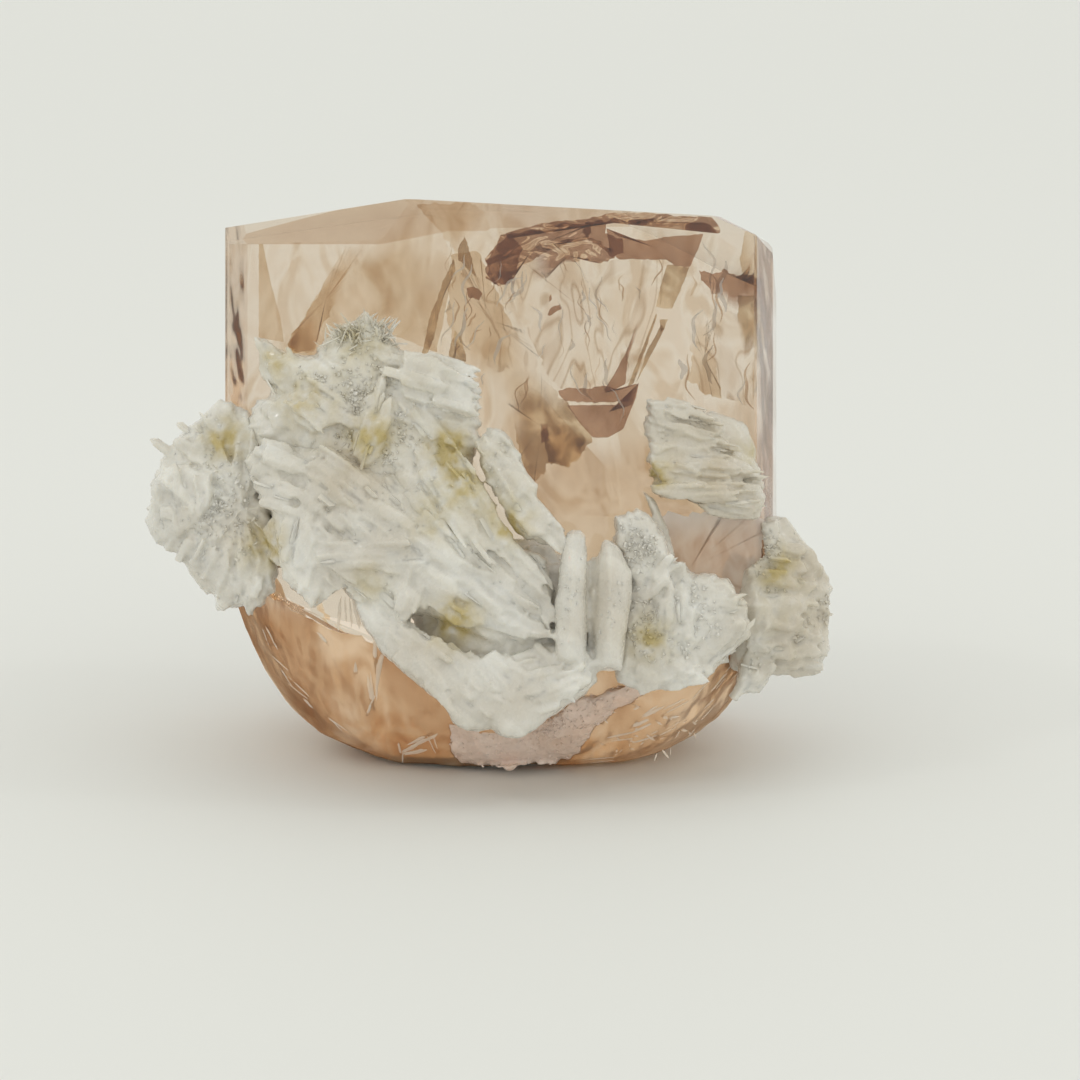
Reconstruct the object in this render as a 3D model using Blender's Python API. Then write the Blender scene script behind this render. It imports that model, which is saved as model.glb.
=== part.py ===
"""A pale sherry topaz crystal with white bladed albite (cleavelandite) grown over its front.

The specimen leans back by LEAN degrees on a flat pad of mounting putty. Its shapes are worked out in
the crystal's own frame, in millimetres: x to the right, y to the back, z along the prism. The function
stand() then leans them back, sets them on the putty and turns them into metres.
"""

import math
import random

import bmesh
import bpy
import numpy as np

MM = 0.001
LEAN = 12.0                 # how far the specimen leans back on its putty, in degrees
PIVOT = (0.39, -1.37, -1.48)   # where the crystal frame's origin stands in the world, in mm
GAP = 0.25                  # clear space between two minerals that touch, in mm

# The topaz prism: each face has an azimuth (0 faces the viewer, 90 faces right), a rise (90 faces up)
# and a point on it.
TOPAZ_FACES = {
    "front_left": (-12.0, 0.0, (-3.2, -14.0, 30.0)),
    "front_right": (6.7, 0.0, (-3.2, -14.0, 30.0)),
    "narrow_right": (55.0, 0.0, (18.9, -11.4, 30.0)),
    "right_side": (93.5, 0.0, (20.4, -9.3, 30.0)),
    "back_right_bevel": (145.6, 0.0, (16.5, 9.06, 30.0)),
    "back_right": (168.0, 0.0, (8.0, 10.84, 30.0)),
    "back_left": (186.7, 0.0, (-12.0, 11.34, 30.0)),
    "back_left_bevel": (212.4, 0.0, (-17.2, 10.73, 30.0)),
    "left_side": (268.0, 0.0, (-19.5, -10.5, 30.0)),
    "front_band": (6.7, 15.5, (10.0, -12.45, 39.0)),
    "top_left": (-90.0, 82.2, (-6.3, -13.4, 41.5)),
    "top_right": (90.0, 87.4, (-6.3, -13.4, 41.5)),
    "top_right_dome": (50.0, 60.0, (15.8, -11.4, 40.5)),
    "right_corner": (110.0, 58.5, (19.0, -11.3, 39.15)),
    "back_left_dome": (186.7, 28.0, (-12.0, 11.34, 39.6)),
    "back_right_dome": (168.0, 28.0, (10.0, 10.42, 39.8)),
    "foot": (0.0, -90.0, (0.0, 0.0, -12.0)),
}

# The broken base: a rounded bowl in the world frame, in mm.
BOWL_CENTRE = (1.6, 0.75)
BOWL_LOW = 0.6              # height of its lowest point over the surface
BOWL_RIM = 15.0             # height where it has become the prism's own sides
BOWL_LEFT, BOWL_RIGHT, BOWL_FRONT, BOWL_BACK = 21.3, 21.5, 14.6, 15.6
BOWL_POWER = 5.2            # how flat the bottom is and how steep the sides are
PLAN_POWER = 2.8            # how square it is seen from above: 2 is an ellipse
BOWL_MEAN = 18.0            # its mean reach, which turns a dent in mm into a share
BOWL_TOP = (60.0, 2.2)      # the height and the share where its walls end, well clear of the prism
BOWL_STEPS, BOWL_RINGS = 40, 11

PUTTY_CENTRE = (-0.4, 2.55)
PUTTY_HALF = (10.2, 11.0)   # half its width and half its depth, in mm
PUTTY_HIGH = 2.6


def stand(points):
    """Points in the crystal's frame, in mm, leaned back and set on the putty, in metres."""
    points = np.asarray(points, float)
    lean = math.radians(LEAN)
    x, y, z = points[:, 0], points[:, 1], points[:, 2]
    back = y * math.cos(lean) + z * math.sin(lean) + PIVOT[1]
    up = z * math.cos(lean) - y * math.sin(lean) + PIVOT[2]
    return np.stack([x + PIVOT[0], back, up], axis=1) * MM


def material(name, colour, roughness, transmission=0.0, ior=1.5):
    made = bpy.data.materials.new(name)
    made.use_nodes = True
    shader = made.node_tree.nodes["Principled BSDF"]
    shader.inputs["Base Color"].default_value = (*colour, 1.0)
    shader.inputs["Roughness"].default_value = roughness
    shader.inputs["Metallic"].default_value = 0.0
    shader.inputs["Transmission Weight"].default_value = transmission
    shader.inputs["IOR"].default_value = ior
    made.diffuse_color = (*colour, 1.0)
    return made


def mesh_object(name, points, faces):
    """An object from points in metres and lists of corners, with its faces turned outwards."""
    mesh = bpy.data.meshes.new(name)
    mesh.from_pydata([tuple(p) for p in points], [], faces)
    shape = bmesh.new()
    shape.from_mesh(mesh)
    bmesh.ops.recalc_face_normals(shape, faces=shape.faces)
    shape.to_mesh(mesh)
    shape.free()
    made = bpy.data.objects.new(name, mesh)
    bpy.context.scene.collection.objects.link(made)
    return made


def baked(obj):
    """The object with its modifiers worked into its mesh."""
    bpy.context.view_layer.update()
    graph = bpy.context.evaluated_depsgraph_get()
    mesh = bpy.data.meshes.new_from_object(obj.evaluated_get(graph))
    obj.modifiers.clear()
    old = obj.data
    obj.data = mesh
    bpy.data.meshes.remove(old)
    return obj


def boolean(obj, other, operation):
    step = obj.modifiers.new(operation.lower(), "BOOLEAN")
    step.operation = operation
    step.solver = "EXACT"
    step.object = other
    return baked(obj)


def face_plane(azimuth, rise, point, grow=0.0):
    """A face as its outward normal and its distance from the origin, moved out by grow."""
    a, r = math.radians(azimuth), math.radians(rise)
    normal = np.array([math.cos(r) * math.sin(a), -math.cos(r) * math.cos(a), math.sin(r)])
    return normal, float(normal @ np.array(point)) + grow


def prism(name, grow=0.0):
    """The topaz's flat faces as one convex body: the corners where three faces meet inside all others."""
    planes = [face_plane(*face, grow) for face in TOPAZ_FACES.values()]
    corners = []
    for i in range(len(planes)):
        for j in range(i):
            for k in range(j):
                normals = np.array([planes[i][0], planes[j][0], planes[k][0]])
                if abs(np.linalg.det(normals)) < 1e-4:
                    continue
                corner = np.linalg.solve(normals, [planes[i][1], planes[j][1], planes[k][1]])
                if all(n @ corner <= d + 1e-6 for n, d in planes):
                    corners.append(corner)
    shape = bmesh.new()
    for corner in stand(corners):
        shape.verts.new(corner)
    bmesh.ops.remove_doubles(shape, verts=shape.verts, dist=1e-6)
    bmesh.ops.convex_hull(shape, input=shape.verts)
    bmesh.ops.dissolve_limit(shape, angle_limit=0.002, verts=shape.verts, edges=shape.edges)
    mesh = bpy.data.meshes.new(name)
    shape.to_mesh(mesh)
    shape.free()
    made = bpy.data.objects.new(name, mesh)
    bpy.context.scene.collection.objects.link(made)
    return made


def bowl(name, grow=0.0):
    """A closed bowl: rings from its lowest point to the rim, then straight up and out past the prism.

    A ring at share s of the way out stands BOWL_RIM * s**BOWL_POWER above the lowest point. Broad dents
    and small chips are sums of waves round the ring and up the side.
    """
    points = [(BOWL_CENTRE[0], BOWL_CENTRE[1], BOWL_LOW - grow)]
    shares = [(ring + 1) / BOWL_RINGS for ring in range(BOWL_RINGS)]
    for share in shares + [1.0]:
        last = len(points) > BOWL_RINGS * BOWL_STEPS
        for step in range(BOWL_STEPS):
            turn = math.tau * step / BOWL_STEPS
            east, north = math.cos(turn), math.sin(turn)
            wide = BOWL_RIGHT if east > 0 else BOWL_LEFT
            deep = BOWL_BACK if north > 0 else BOWL_FRONT
            square = (abs(east) ** PLAN_POWER + abs(north) ** PLAN_POWER) ** (-1.0 / PLAN_POWER)
            dent = 0.35 * math.sin(3 * turn + 1.0 + 4.0 * share) + 0.22 * math.sin(7 * turn - 6.0 * share)
            dent += 0.14 * math.sin(13 * turn + 9.0 * share)
            height = BOWL_LOW + BOWL_RIM * share ** BOWL_POWER - grow
            reach = share * square + (dent * share * share + grow) / BOWL_MEAN
            if last:
                height, reach = BOWL_TOP
            points.append((BOWL_CENTRE[0] + wide * reach * east, BOWL_CENTRE[1] + deep * reach * north,
                           height))
    faces = []
    for step in range(BOWL_STEPS):
        after = (step + 1) % BOWL_STEPS
        faces.append((0, 1 + after, 1 + step))
        for ring in range(BOWL_RINGS):
            low, high = 1 + ring * BOWL_STEPS, 1 + (ring + 1) * BOWL_STEPS
            faces.append((low + step, low + after, high + after, high + step))
    faces.append(tuple(1 + BOWL_RINGS * BOWL_STEPS + step for step in range(BOWL_STEPS)))
    return mesh_object(name, np.array(points) * MM, faces)


def topaz(name, grow=0.0):
    """The crystal's faces above, and its broken bowl below."""
    crystal = prism(name, grow)
    below = bowl(name + "_bowl", grow)
    boolean(crystal, below, "INTERSECT")
    bpy.data.objects.remove(below)
    return crystal


def frame_of(base, tip, roll):
    """A plate's own axes: along its length, across its width, and through its thickness.

    At roll 0 the width runs to the back, so its edge faces the viewer. At 90 its broad face does.
    """
    base, tip = np.array(base, float), np.array(tip, float)
    length = np.linalg.norm(tip - base)
    along = (tip - base) / length
    across = np.array([0.0, 1.0, 0.0]) - along * along[1]
    across /= np.linalg.norm(across)
    through = np.cross(along, across)
    turn = math.radians(roll)
    wide = across * math.cos(turn) + through * math.sin(turn)
    return base, length, along, wide, np.cross(along, wide)


PLATE_STATIONS = ((0.0, 0.72), (0.4, 1.0), (0.8, 0.88), (1.0, 0.5))   # share of the length, of the width


def plate(name, base, tip, width, thick, roll, bend=0.0, grow=0.0):
    """One albite plate: a flat bar of four stations, narrower at its tip, bent through its thickness."""
    base, length, along, wide, through = frame_of(base, tip, roll)
    base, length = base - along * grow, length + 2 * grow
    points = []
    for share, part in PLATE_STATIONS:
        centre = base + along * length * share + through * bend * 4.0 * share * (1.0 - share)
        half, deep = width * part / 2 + grow, thick * (0.6 + 0.4 * part) / 2 + grow
        for side, up in ((-1, -1), (1, -1), (1, 1), (-1, 1)):
            points.append(centre + wide * half * side + through * deep * up)
    faces = [(0, 3, 2, 1)]
    for ring in range(len(PLATE_STATIONS) - 1):
        for corner in range(4):
            after = (corner + 1) % 4
            faces.append((4 * ring + corner, 4 * ring + after, 4 * ring + 4 + after, 4 * ring + 4 + corner))
    end = 4 * len(PLATE_STATIONS) - 4
    faces.append((end, end + 1, end + 2, end + 3))
    return mesh_object(name, stand(points), faces)


def lump(name, centre, half, seed, grow=0.0):
    """A grainy albite lump: an ellipsoid of coarse flats, each corner pushed in or out a little."""
    draw = random.Random(seed)
    shape = bmesh.new()
    bmesh.ops.create_icosphere(shape, subdivisions=2, radius=1.0)
    points = []
    for corner in shape.verts:
        push = 1.0 + draw.uniform(-0.09, 0.09)
        points.append([centre[i] + (half[i] * push + grow) * corner.co[i] for i in range(3)])
    faces = [tuple(v.index for v in face.verts) for face in shape.faces]
    shape.free()
    return mesh_object(name, stand(points), faces)


def fan(name, count, bases, tips, width, thick, rolls, bend=0.0, seed=1, stray=0.25):
    """Plates set side by side: bases and tips run evenly from a first to a last, each a little astray."""
    draw = random.Random(seed)
    made = []
    for i in range(count):
        share = i / max(count - 1, 1)
        base = [a + (b - a) * share + draw.uniform(-stray, stray) for a, b in zip(*bases)]
        tip = [a + (b - a) * share + draw.uniform(-stray, stray) for a, b in zip(*tips)]
        roll = rolls[0] + (rolls[1] - rolls[0]) * share + draw.uniform(-6, 6)
        size = draw.uniform(0.88, 1.12)
        made.append(plate(f"{name}_{i}", base, tip, width * size, thick * draw.uniform(0.85, 1.15), roll, bend))
    return made


def rosette(name, count, centre, reach, turns, width, thick, rolls, seed, deep=(0.0, 0.0)):
    """Plates that spread from one centre, from the first turn to the last, in degrees from the right."""
    draw = random.Random(seed)
    made = []
    for i in range(count):
        share = i / max(count - 1, 1)
        turn = math.radians(turns[0] + (turns[1] - turns[0]) * share + draw.uniform(-4, 4))
        far = reach[i % len(reach)] * draw.uniform(0.95, 1.03)
        tip = (centre[0] + far * math.cos(turn), centre[1] + deep[0] + (deep[1] - deep[0]) * share,
               centre[2] + far * math.sin(turn))
        roll = rolls[0] + (rolls[1] - rolls[0]) * share
        made.append(plate(f"{name}_{i}", centre, tip, width * draw.uniform(0.85, 1.1), thick, roll))
    return made


def outer_body(obj):
    """Only the largest closed skin is kept, without the pockets that joined plates shut in."""
    shape = bmesh.new()
    shape.from_mesh(obj.data)
    skins, left = [], set(shape.faces)
    while left:
        skin, edge_on = set(), [left.pop()]
        while edge_on:
            face = edge_on.pop()
            skin.add(face)
            for edge in face.edges:
                for other in edge.link_faces:
                    if other in left:
                        left.remove(other)
                        edge_on.append(other)
        skins.append(skin)
    largest = max(skins, key=lambda skin: sum(face.calc_area() for face in skin))
    spare = [face for skin in skins if skin is not largest for face in skin]
    bmesh.ops.delete(shape, geom=spare, context="FACES")
    shape.to_mesh(obj.data)
    shape.free()
    return obj


def grown_together(name, pieces, cutters, finish):
    """Plates and lumps joined in one body, less the minerals that they grew against."""
    whole = pieces[0]
    whole.name = name
    whole.data.name = name
    for piece in pieces[1:]:
        boolean(whole, piece, "UNION")
        bpy.data.objects.remove(piece)
    for cutter in cutters:
        boolean(whole, cutter, "DIFFERENCE")
    outer_body(whole)
    whole.data.materials.clear()
    whole.data.materials.append(finish)
    return whole


PROW_HEART = ((1.2, -15.0, 11.8), (7.0, 4.0, 6.0), 9)
LOW_HEART = ((13.6, -13.4, 10.6), (4.6, 3.4, 4.6), 31)
PROW_LEFT = ((-8.9, -15.6, 15.8), (1.0, -17.4, 4.1), 5.0, 3.4, 80, 0.4)
PROW_RIGHT = ((9.0, -16.2, 8.6), (-0.6, -17.8, 4.0), 4.2, 3.2, 82, 0.4)
BOTTOM_PLATE = ((17.9, -13.4, 8.0), (9.4, -15.6, 6.4), 4.4, 1.7, 30, -0.4)
TALL_BLADE = ((5.8, -17.6, 4.8), (5.6, -18.6, 18.1), 2.7, 2.6, 70)
POINTED_BLADE = ((9.0, -17.0, 5.2), (8.3, -18.2, 17.7), 3.3, 2.4, 65)


def left_rosette():
    """Scalloped plates that spread from one centre past the left edge, in a front and a back row."""
    pieces = [lump("heart_left", (-18.8, -10.2, 19.4), (4.9, 4.4, 6.4), 3)]
    pieces += rosette("left_petal", 12, (-18.4, -11.2, 19.6), (6.5, 7.2, 6.8), (96, 282), 4.6, 1.2,
                      (45, 70), 11, (-1.0, 0.5))
    pieces += rosette("left_side_petal", 9, (-19.6, -7.2, 19.4), (5.2, 5.8, 5.4), (80, 280), 5.0, 1.3,
                      (35, 60), 12, (0.5, 1.5))
    pieces += rosette("left_back_petal", 6, (-19.8, -3.0, 18.6), (3.9, 4.4), (90, 270), 4.6, 1.3,
                      (30, 50), 10, (1.0, 2.5))
    return pieces


def upper_mass():
    """The grainy upper left: a needle bush, corner plates and the thin slabs that slope to the right."""
    pieces = [lump("heart_upper", (-9.6, -14.6, 25.6), (8.2, 3.6, 5.6), 5)]
    pieces += fan("bush", 5, ((-12.5, -14.6, 28.0), (-5.5, -14.9, 28.0)),
                  ((-11.6, -15.0, 32.6), (-7.4, -15.2, 33.0)), 2.2, 1.0, (30, 60), seed=13)
    pieces += fan("corner_plate", 3, ((-11.5, -14.4, 26.0), (-12.0, -14.0, 29.5)),
                  ((-17.0, -13.2, 29.0), (-16.4, -13.0, 31.2)), 3.4, 1.2, (50, 60), seed=14)
    pieces += fan("upper_slab", 5, ((-9.4, -15.2, 30.0), (-10.6, -16.0, 25.4)),
                  ((-0.6, -15.6, 27.4), (-3.0, -16.6, 22.0)), 4.4, 0.9, (25, 40), 0.3, seed=15)
    pieces += fan("slanting_slab", 5, ((-0.7, -15.6, 25.0), (-7.4, -16.2, 22.4)),
                  ((5.7, -16.0, 16.6), (0.4, -17.4, 14.6)), 4.6, 1.3, (35, 45), 0.2, seed=16)
    return pieces


def middle_and_prow():
    """The stout plates left of the middle, the level rod, the long blades, the prow, two tall blades."""
    pieces = [
        lump("heart_middle", (-9.4, -14.6, 18.0), (8.6, 3.9, 5.4), 7),
        lump("heart_prow", *PROW_HEART),
        plate("rod", (-4.6, -17.0, 16.7), (-13.6, -16.4, 15.4), 2.6, 2.4, 40),
        plate("prow_left", *PROW_LEFT),
        plate("prow_right", *PROW_RIGHT),
        plate("tall_blade", *TALL_BLADE),
        plate("pointed_blade", *POINTED_BLADE),
    ]
    pieces += fan("left_plate", 4, ((-10.5, -15.8, 21.6), (-11.0, -15.8, 15.0)),
                  ((-15.6, -14.2, 18.4), (-13.6, -14.2, 11.9)), 3.6, 1.5, (60, 70), seed=17)
    pieces += fan("long_blade", 4, ((-7.4, -17.0, 16.4), (-5.6, -17.6, 12.4)),
                  ((3.2, -17.9, 12.0), (4.0, -17.8, 8.6)), 3.4, 1.6, (60, 70), seed=18)
    return pieces


def right_blades():
    """The stubby blades right of the middle and the rosette of level plates past the right edge."""
    pieces = [
        lump("heart_low", *LOW_HEART),
        lump("heart_right", (19.4, -8.6, 11.6), (3.4, 4.6, 5.2), 33),
        plate("spear", (14.9, -13.8, 12.6), (12.2, -13.8, 18.6), 1.6, 0.8, 40),
        plate("thick_plate", (10.7, -15.0, 11.6), (12.9, -15.6, 17.4), 3.2, 1.8, 60),
        plate("smooth_blade", (15.0, -15.4, 6.8), (15.1, -15.8, 13.3), 3.6, 2.0, 70),
        plate("bottom_plate", *BOTTOM_PLATE),
    ]
    pieces += fan("stub", 3, ((15.6, -14.4, 9.4), (17.4, -13.2, 8.8)),
                  ((16.4, -15.4, 13.2), (18.8, -13.6, 11.4)), 3.0, 1.4, (60, 70), seed=34)
    pieces += rosette("right_petal", 6, (18.2, -9.4, 11.2), (6.6, 6.9), (68, -30), 5.0, 1.4,
                      (15, 30), 35, (-0.5, -0.5))
    pieces += rosette("right_back_petal", 5, (18.6, -4.8, 11.4), (5.6, 6.0), (60, -28), 5.0, 1.4,
                      (15, 30), 36, (0.5, 1.0))
    return pieces


def upper_right_fan():
    """Five nearly level plates, the lowest one thick and bright, on a low lump."""
    pieces = [lump("fan_heart", (15.6, -12.4, 22.9), (3.6, 2.6, 3.9), 21)]
    pieces += fan("level_plate", 4, ((18.2, -12.8, 25.2), (18.7, -13.1, 21.6)),
                  ((11.3, -13.6, 26.8), (11.2, -14.4, 22.4)), 4.2, 1.1, (20, 30), 0.5, seed=22, stray=0.15)
    pieces.append(plate("bright_plate", (19.2, -13.0, 19.9), (11.2, -14.2, 20.8), 4.6, 1.8, 25, 0.2))
    return pieces


def crust():
    """The thin grainy crust low on the front of the base, a row of flat lumps grown into one."""
    return [
        lump("crust_middle", (2.2, -11.4, 3.2), (6.0, 2.6, 3.0), 41),
        lump("crust_right", (7.6, -11.8, 4.6), (4.6, 2.4, 2.8), 43),
        lump("crust_left", (-1.6, -11.8, 3.6), (2.6, 2.0, 2.2), 45),
    ]


def crust_neighbours():
    """The lumps and plates that the crust lies against, each a little larger."""
    return [
        lump("prow_heart_room", *PROW_HEART, GAP),
        lump("low_heart_room", *LOW_HEART, GAP),
        plate("prow_left_room", *PROW_LEFT, GAP),
        plate("prow_right_room", *PROW_RIGHT, GAP),
        plate("bottom_room", *BOTTOM_PLATE, GAP),
        plate("tall_room", *TALL_BLADE, 0.0, GAP),
        plate("pointed_room", *POINTED_BLADE, 0.0, GAP),
    ]


def putty():
    """A flattened pad with a rounded edge, pressed flat below, with the base's bowl sunk into its top."""
    points, steps = [], 32
    profile = ((0.86, 0.0), (0.97, 0.12), (1.0, 0.38), (0.95, 0.7), (0.82, 1.0))
    for share, height in profile:
        for step in range(steps):
            turn = math.tau * step / steps
            wave = 1.0 + 0.035 * math.sin(2 * turn + 0.6) + 0.02 * math.sin(5 * turn)
            points.append((PUTTY_CENTRE[0] + PUTTY_HALF[0] * share * wave * math.cos(turn),
                           PUTTY_CENTRE[1] + PUTTY_HALF[1] * share * wave * math.sin(turn),
                           PUTTY_HIGH * height))
    faces = [tuple(range(steps)), tuple(steps * (len(profile) - 1) + step for step in range(steps))]
    for ring in range(len(profile) - 1):
        for step in range(steps):
            after = (step + 1) % steps
            low, high = ring * steps, (ring + 1) * steps
            faces.append((low + step, low + after, high + after, high + step))
    return [mesh_object("pad", np.array(points) * MM, faces)]


def clear_scene():
    for obj in list(bpy.data.objects):
        bpy.data.objects.remove(obj)


def build():
    clear_scene()
    topaz_finish = material("topaz", (0.86, 0.66, 0.50), 0.03, 1.0, 1.62)
    albite_finish = material("albite", (0.80, 0.78, 0.73), 0.45)
    crust_finish = material("crust", (0.74, 0.64, 0.57), 0.6)
    putty_finish = material("putty", (0.68, 0.68, 0.66), 0.7)
    crystal = topaz("topaz_crystal")
    crystal.data.materials.clear()
    crystal.data.materials.append(topaz_finish)
    room = topaz("topaz_room", GAP)
    beside_crust = crust_neighbours()
    mass = left_rosette() + upper_mass() + middle_and_prow() + right_blades()
    grown_together("albite_mass", mass, [room], albite_finish)
    grown_together("albite_upper_right_fan", upper_right_fan(), [room], albite_finish)
    grown_together("base_crust", crust(), [room] + beside_crust, crust_finish)
    grown_together("display_putty", putty(), [room], putty_finish)
    for helper in [room] + beside_crust:
        bpy.data.objects.remove(helper)


build()
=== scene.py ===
"""The topaz crystal with cleavelandite: the looks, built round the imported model.

Places are worked out in the crystal's own frame, in millimetres: x to the right, y to the back, z along
the prism. stand() leans them back as the specimen leans on its putty, and turns them into metres.
"""

import itertools
import math
import random

import bmesh
import bpy
import numpy as np
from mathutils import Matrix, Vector


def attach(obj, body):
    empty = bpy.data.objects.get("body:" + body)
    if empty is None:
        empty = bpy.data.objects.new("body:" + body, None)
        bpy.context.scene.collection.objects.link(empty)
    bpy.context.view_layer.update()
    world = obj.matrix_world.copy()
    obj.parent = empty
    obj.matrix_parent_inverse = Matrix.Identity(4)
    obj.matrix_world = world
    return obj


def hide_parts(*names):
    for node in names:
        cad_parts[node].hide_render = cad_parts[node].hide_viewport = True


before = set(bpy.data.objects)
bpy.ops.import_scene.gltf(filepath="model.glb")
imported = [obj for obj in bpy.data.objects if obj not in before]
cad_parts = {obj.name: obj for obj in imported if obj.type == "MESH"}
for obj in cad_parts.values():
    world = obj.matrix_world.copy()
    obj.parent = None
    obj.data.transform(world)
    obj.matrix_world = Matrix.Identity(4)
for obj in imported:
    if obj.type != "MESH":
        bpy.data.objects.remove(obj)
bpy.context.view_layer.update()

# The topaz crystal: one stubby prism of pale sherry topaz, clear to the eye, with two wide front faces,
# a low termination and a rounded base where it broke off its rock. It grew as one piece, so its flat
# faces are planes and its base is a chipped bowl.
MM = 0.001
LEAN = math.radians(12.0)           # how far the specimen leans back on its putty
PIVOT = (0.39, -1.37, -1.48)        # where the crystal frame's origin stands in the world, in mm
TOPAZ_IOR, ABSORBED, ABSORPTION = 1.62, (0.75, 0.52, 0.24, 1.0), 26.0
GLASSY, BROKEN = 0.008, 0.30        # the roughness of a grown face and of the broken base
WHITE, BLACK = (1.0, 1.0, 1.0), (0.0, 0.0, 0.0)
PARALLEL, SAME_PLACE = 1e-4, 1e-6   # planes that hardly cross, and corners that fall together
ON_PLANE = 2e-6                     # how near its plane a flat face's middle lies, in metres

# Each flat face's azimuth, its rise and a point on it, then how etched and how stained some of them are.
TOPAZ_FACES = {
    "front_left": (-12.0, 0.0, (-3.2, -14.0, 30.0)),
    "front_right": (6.7, 0.0, (-3.2, -14.0, 30.0)),
    "narrow_right": (55.0, 0.0, (18.9, -11.4, 30.0)),
    "right_side": (93.5, 0.0, (20.4, -9.3, 30.0)),
    "back_right_bevel": (145.6, 0.0, (16.5, 9.06, 30.0)),
    "back_right": (168.0, 0.0, (8.0, 10.84, 30.0)),
    "back_left": (186.7, 0.0, (-12.0, 11.34, 30.0)),
    "back_left_bevel": (212.4, 0.0, (-17.2, 10.73, 30.0)),
    "left_side": (268.0, 0.0, (-19.5, -10.5, 30.0)),
    "front_band": (6.7, 15.5, (10.0, -12.45, 39.0)),
    "top_left": (-90.0, 82.2, (-6.3, -13.4, 41.5)),
    "top_right": (90.0, 87.4, (-6.3, -13.4, 41.5)),
    "top_right_dome": (50.0, 60.0, (15.8, -11.4, 40.5)),
    "right_corner": (110.0, 58.5, (19.0, -11.3, 39.15)),
    "back_left_dome": (186.7, 28.0, (-12.0, 11.34, 39.6)),
    "back_right_dome": (168.0, 28.0, (10.0, 10.42, 39.8)),
    "foot": (0.0, -90.0, (0.0, 0.0, -12.0)),
}
ETCHED = {"narrow_right": 0.75, "right_side": 0.5, "left_side": 0.25, "back_left_bevel": 0.3,
          "back_right_bevel": 0.3, "back_left_dome": 0.2, "back_right_dome": 0.2}
STAINED = {"back_left_dome": 1.0, "back_right_dome": 0.8, "back_left_bevel": 0.5, "left_side": 0.15}

# The broken base: how far the bowl reaches to each side, how high it rises, how square its plan is, and
# how much lower it hangs at the front.
BOWL_CENTRE = (1.6, 0.75)
BOWL_LOW, BOWL_RIM = 0.6, 15.0
BOWL_LEFT, BOWL_RIGHT, BOWL_FRONT, BOWL_BACK = 21.3, 21.5, 14.6, 15.6
BOWL_POWER, PLAN_POWER, BOWL_MEAN = 5.2, 2.8, 18.0
BELLY = 1.5
CUTTER_TOP, CUTTER_WIDER = 60.0, 2.2        # the bowl goes on upwards and outwards, clear of the prism


def stand(points):
    """Crystal-frame points in mm, turned back by LEAN about the x axis, moved by PIVOT, in metres."""
    points = np.asarray(points, float)
    x, y, z = points[..., 0], points[..., 1], points[..., 2]
    back = y * math.cos(LEAN) + z * math.sin(LEAN) + PIVOT[1]
    up = z * math.cos(LEAN) - y * math.sin(LEAN) + PIVOT[2]
    return np.stack([x + PIVOT[0], back, up], axis=-1) * MM


def hashed(cells, seed):
    """A random number from 0 to 1 for every whole-numbered cell, from its mixed and shifted bits."""
    primes = (73856093, 19349663, 83492791)
    mixed = np.full(cells.shape[:-1], seed * 26544357, dtype=np.int64)
    for i in range(cells.shape[-1]):
        mixed = mixed ^ (cells[..., i] * primes[i])
    mixed = ((mixed & 0xFFFFFF) * 0x5BD1E9) & 0xFFFFFFFF
    mixed = ((mixed ^ (mixed >> 13)) * 0x2545F5) & 0xFFFFFFFF
    return ((mixed ^ (mixed >> 15)) & 0xFFFF) / 0xFFFF


def noise(points, size, seed):
    """Smooth random height from -1 to 1: hashed values on a lattice of that size, blended between."""
    scaled = np.asarray(points, float) / size
    cell = np.floor(scaled).astype(np.int64)
    part = scaled - cell
    part = part * part * (3.0 - 2.0 * part)
    total = np.zeros(scaled.shape[:-1])
    for corner in itertools.product((0, 1), repeat=scaled.shape[-1]):
        side = np.array(corner)
        weight = np.prod(np.where(side == 1, part, 1.0 - part), axis=-1)
        total += weight * hashed(cell + side, seed)
    return total * 2.0 - 1.0


def linked(name, data):
    """An object at the origin for that data, put in the scene."""
    made = bpy.data.objects.new(name, data)
    bpy.context.scene.collection.objects.link(made)
    return made


def solid(name, points, faces, smooth):
    """A mesh object at the origin from points in metres, with its creases kept sharp by angle."""
    mesh = bpy.data.meshes.new(name)
    mesh.from_pydata(np.asarray(points).tolist(), [], [tuple(f) for f in faces])
    mesh.update()
    if smooth:
        mesh.shade_smooth()
        mesh.set_sharp_from_angle(angle=math.radians(smooth))
    return linked(name, mesh)


def ring_faces(rows, count, first=0):
    """Quads between rows of a closed grid: row after row of count points, each row joined to the next."""
    row, step = np.meshgrid(np.arange(rows - 1), np.arange(count), indexing="ij")
    after = (step + 1) % count
    quads = np.stack([row * count + step, row * count + after, (row + 1) * count + after,
                      (row + 1) * count + step], axis=-1)
    return (quads.reshape(-1, 4) + first).tolist()


def face_plane(azimuth, rise, point):
    """A flat face as its outward normal and distance: azimuth 0 looks at the viewer, rise 90 looks up."""
    a, r = math.radians(azimuth), math.radians(rise)
    normal = np.array([math.cos(r) * math.sin(a), -math.cos(r) * math.cos(a), math.sin(r)])
    return normal, float(normal @ np.array(point))


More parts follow.
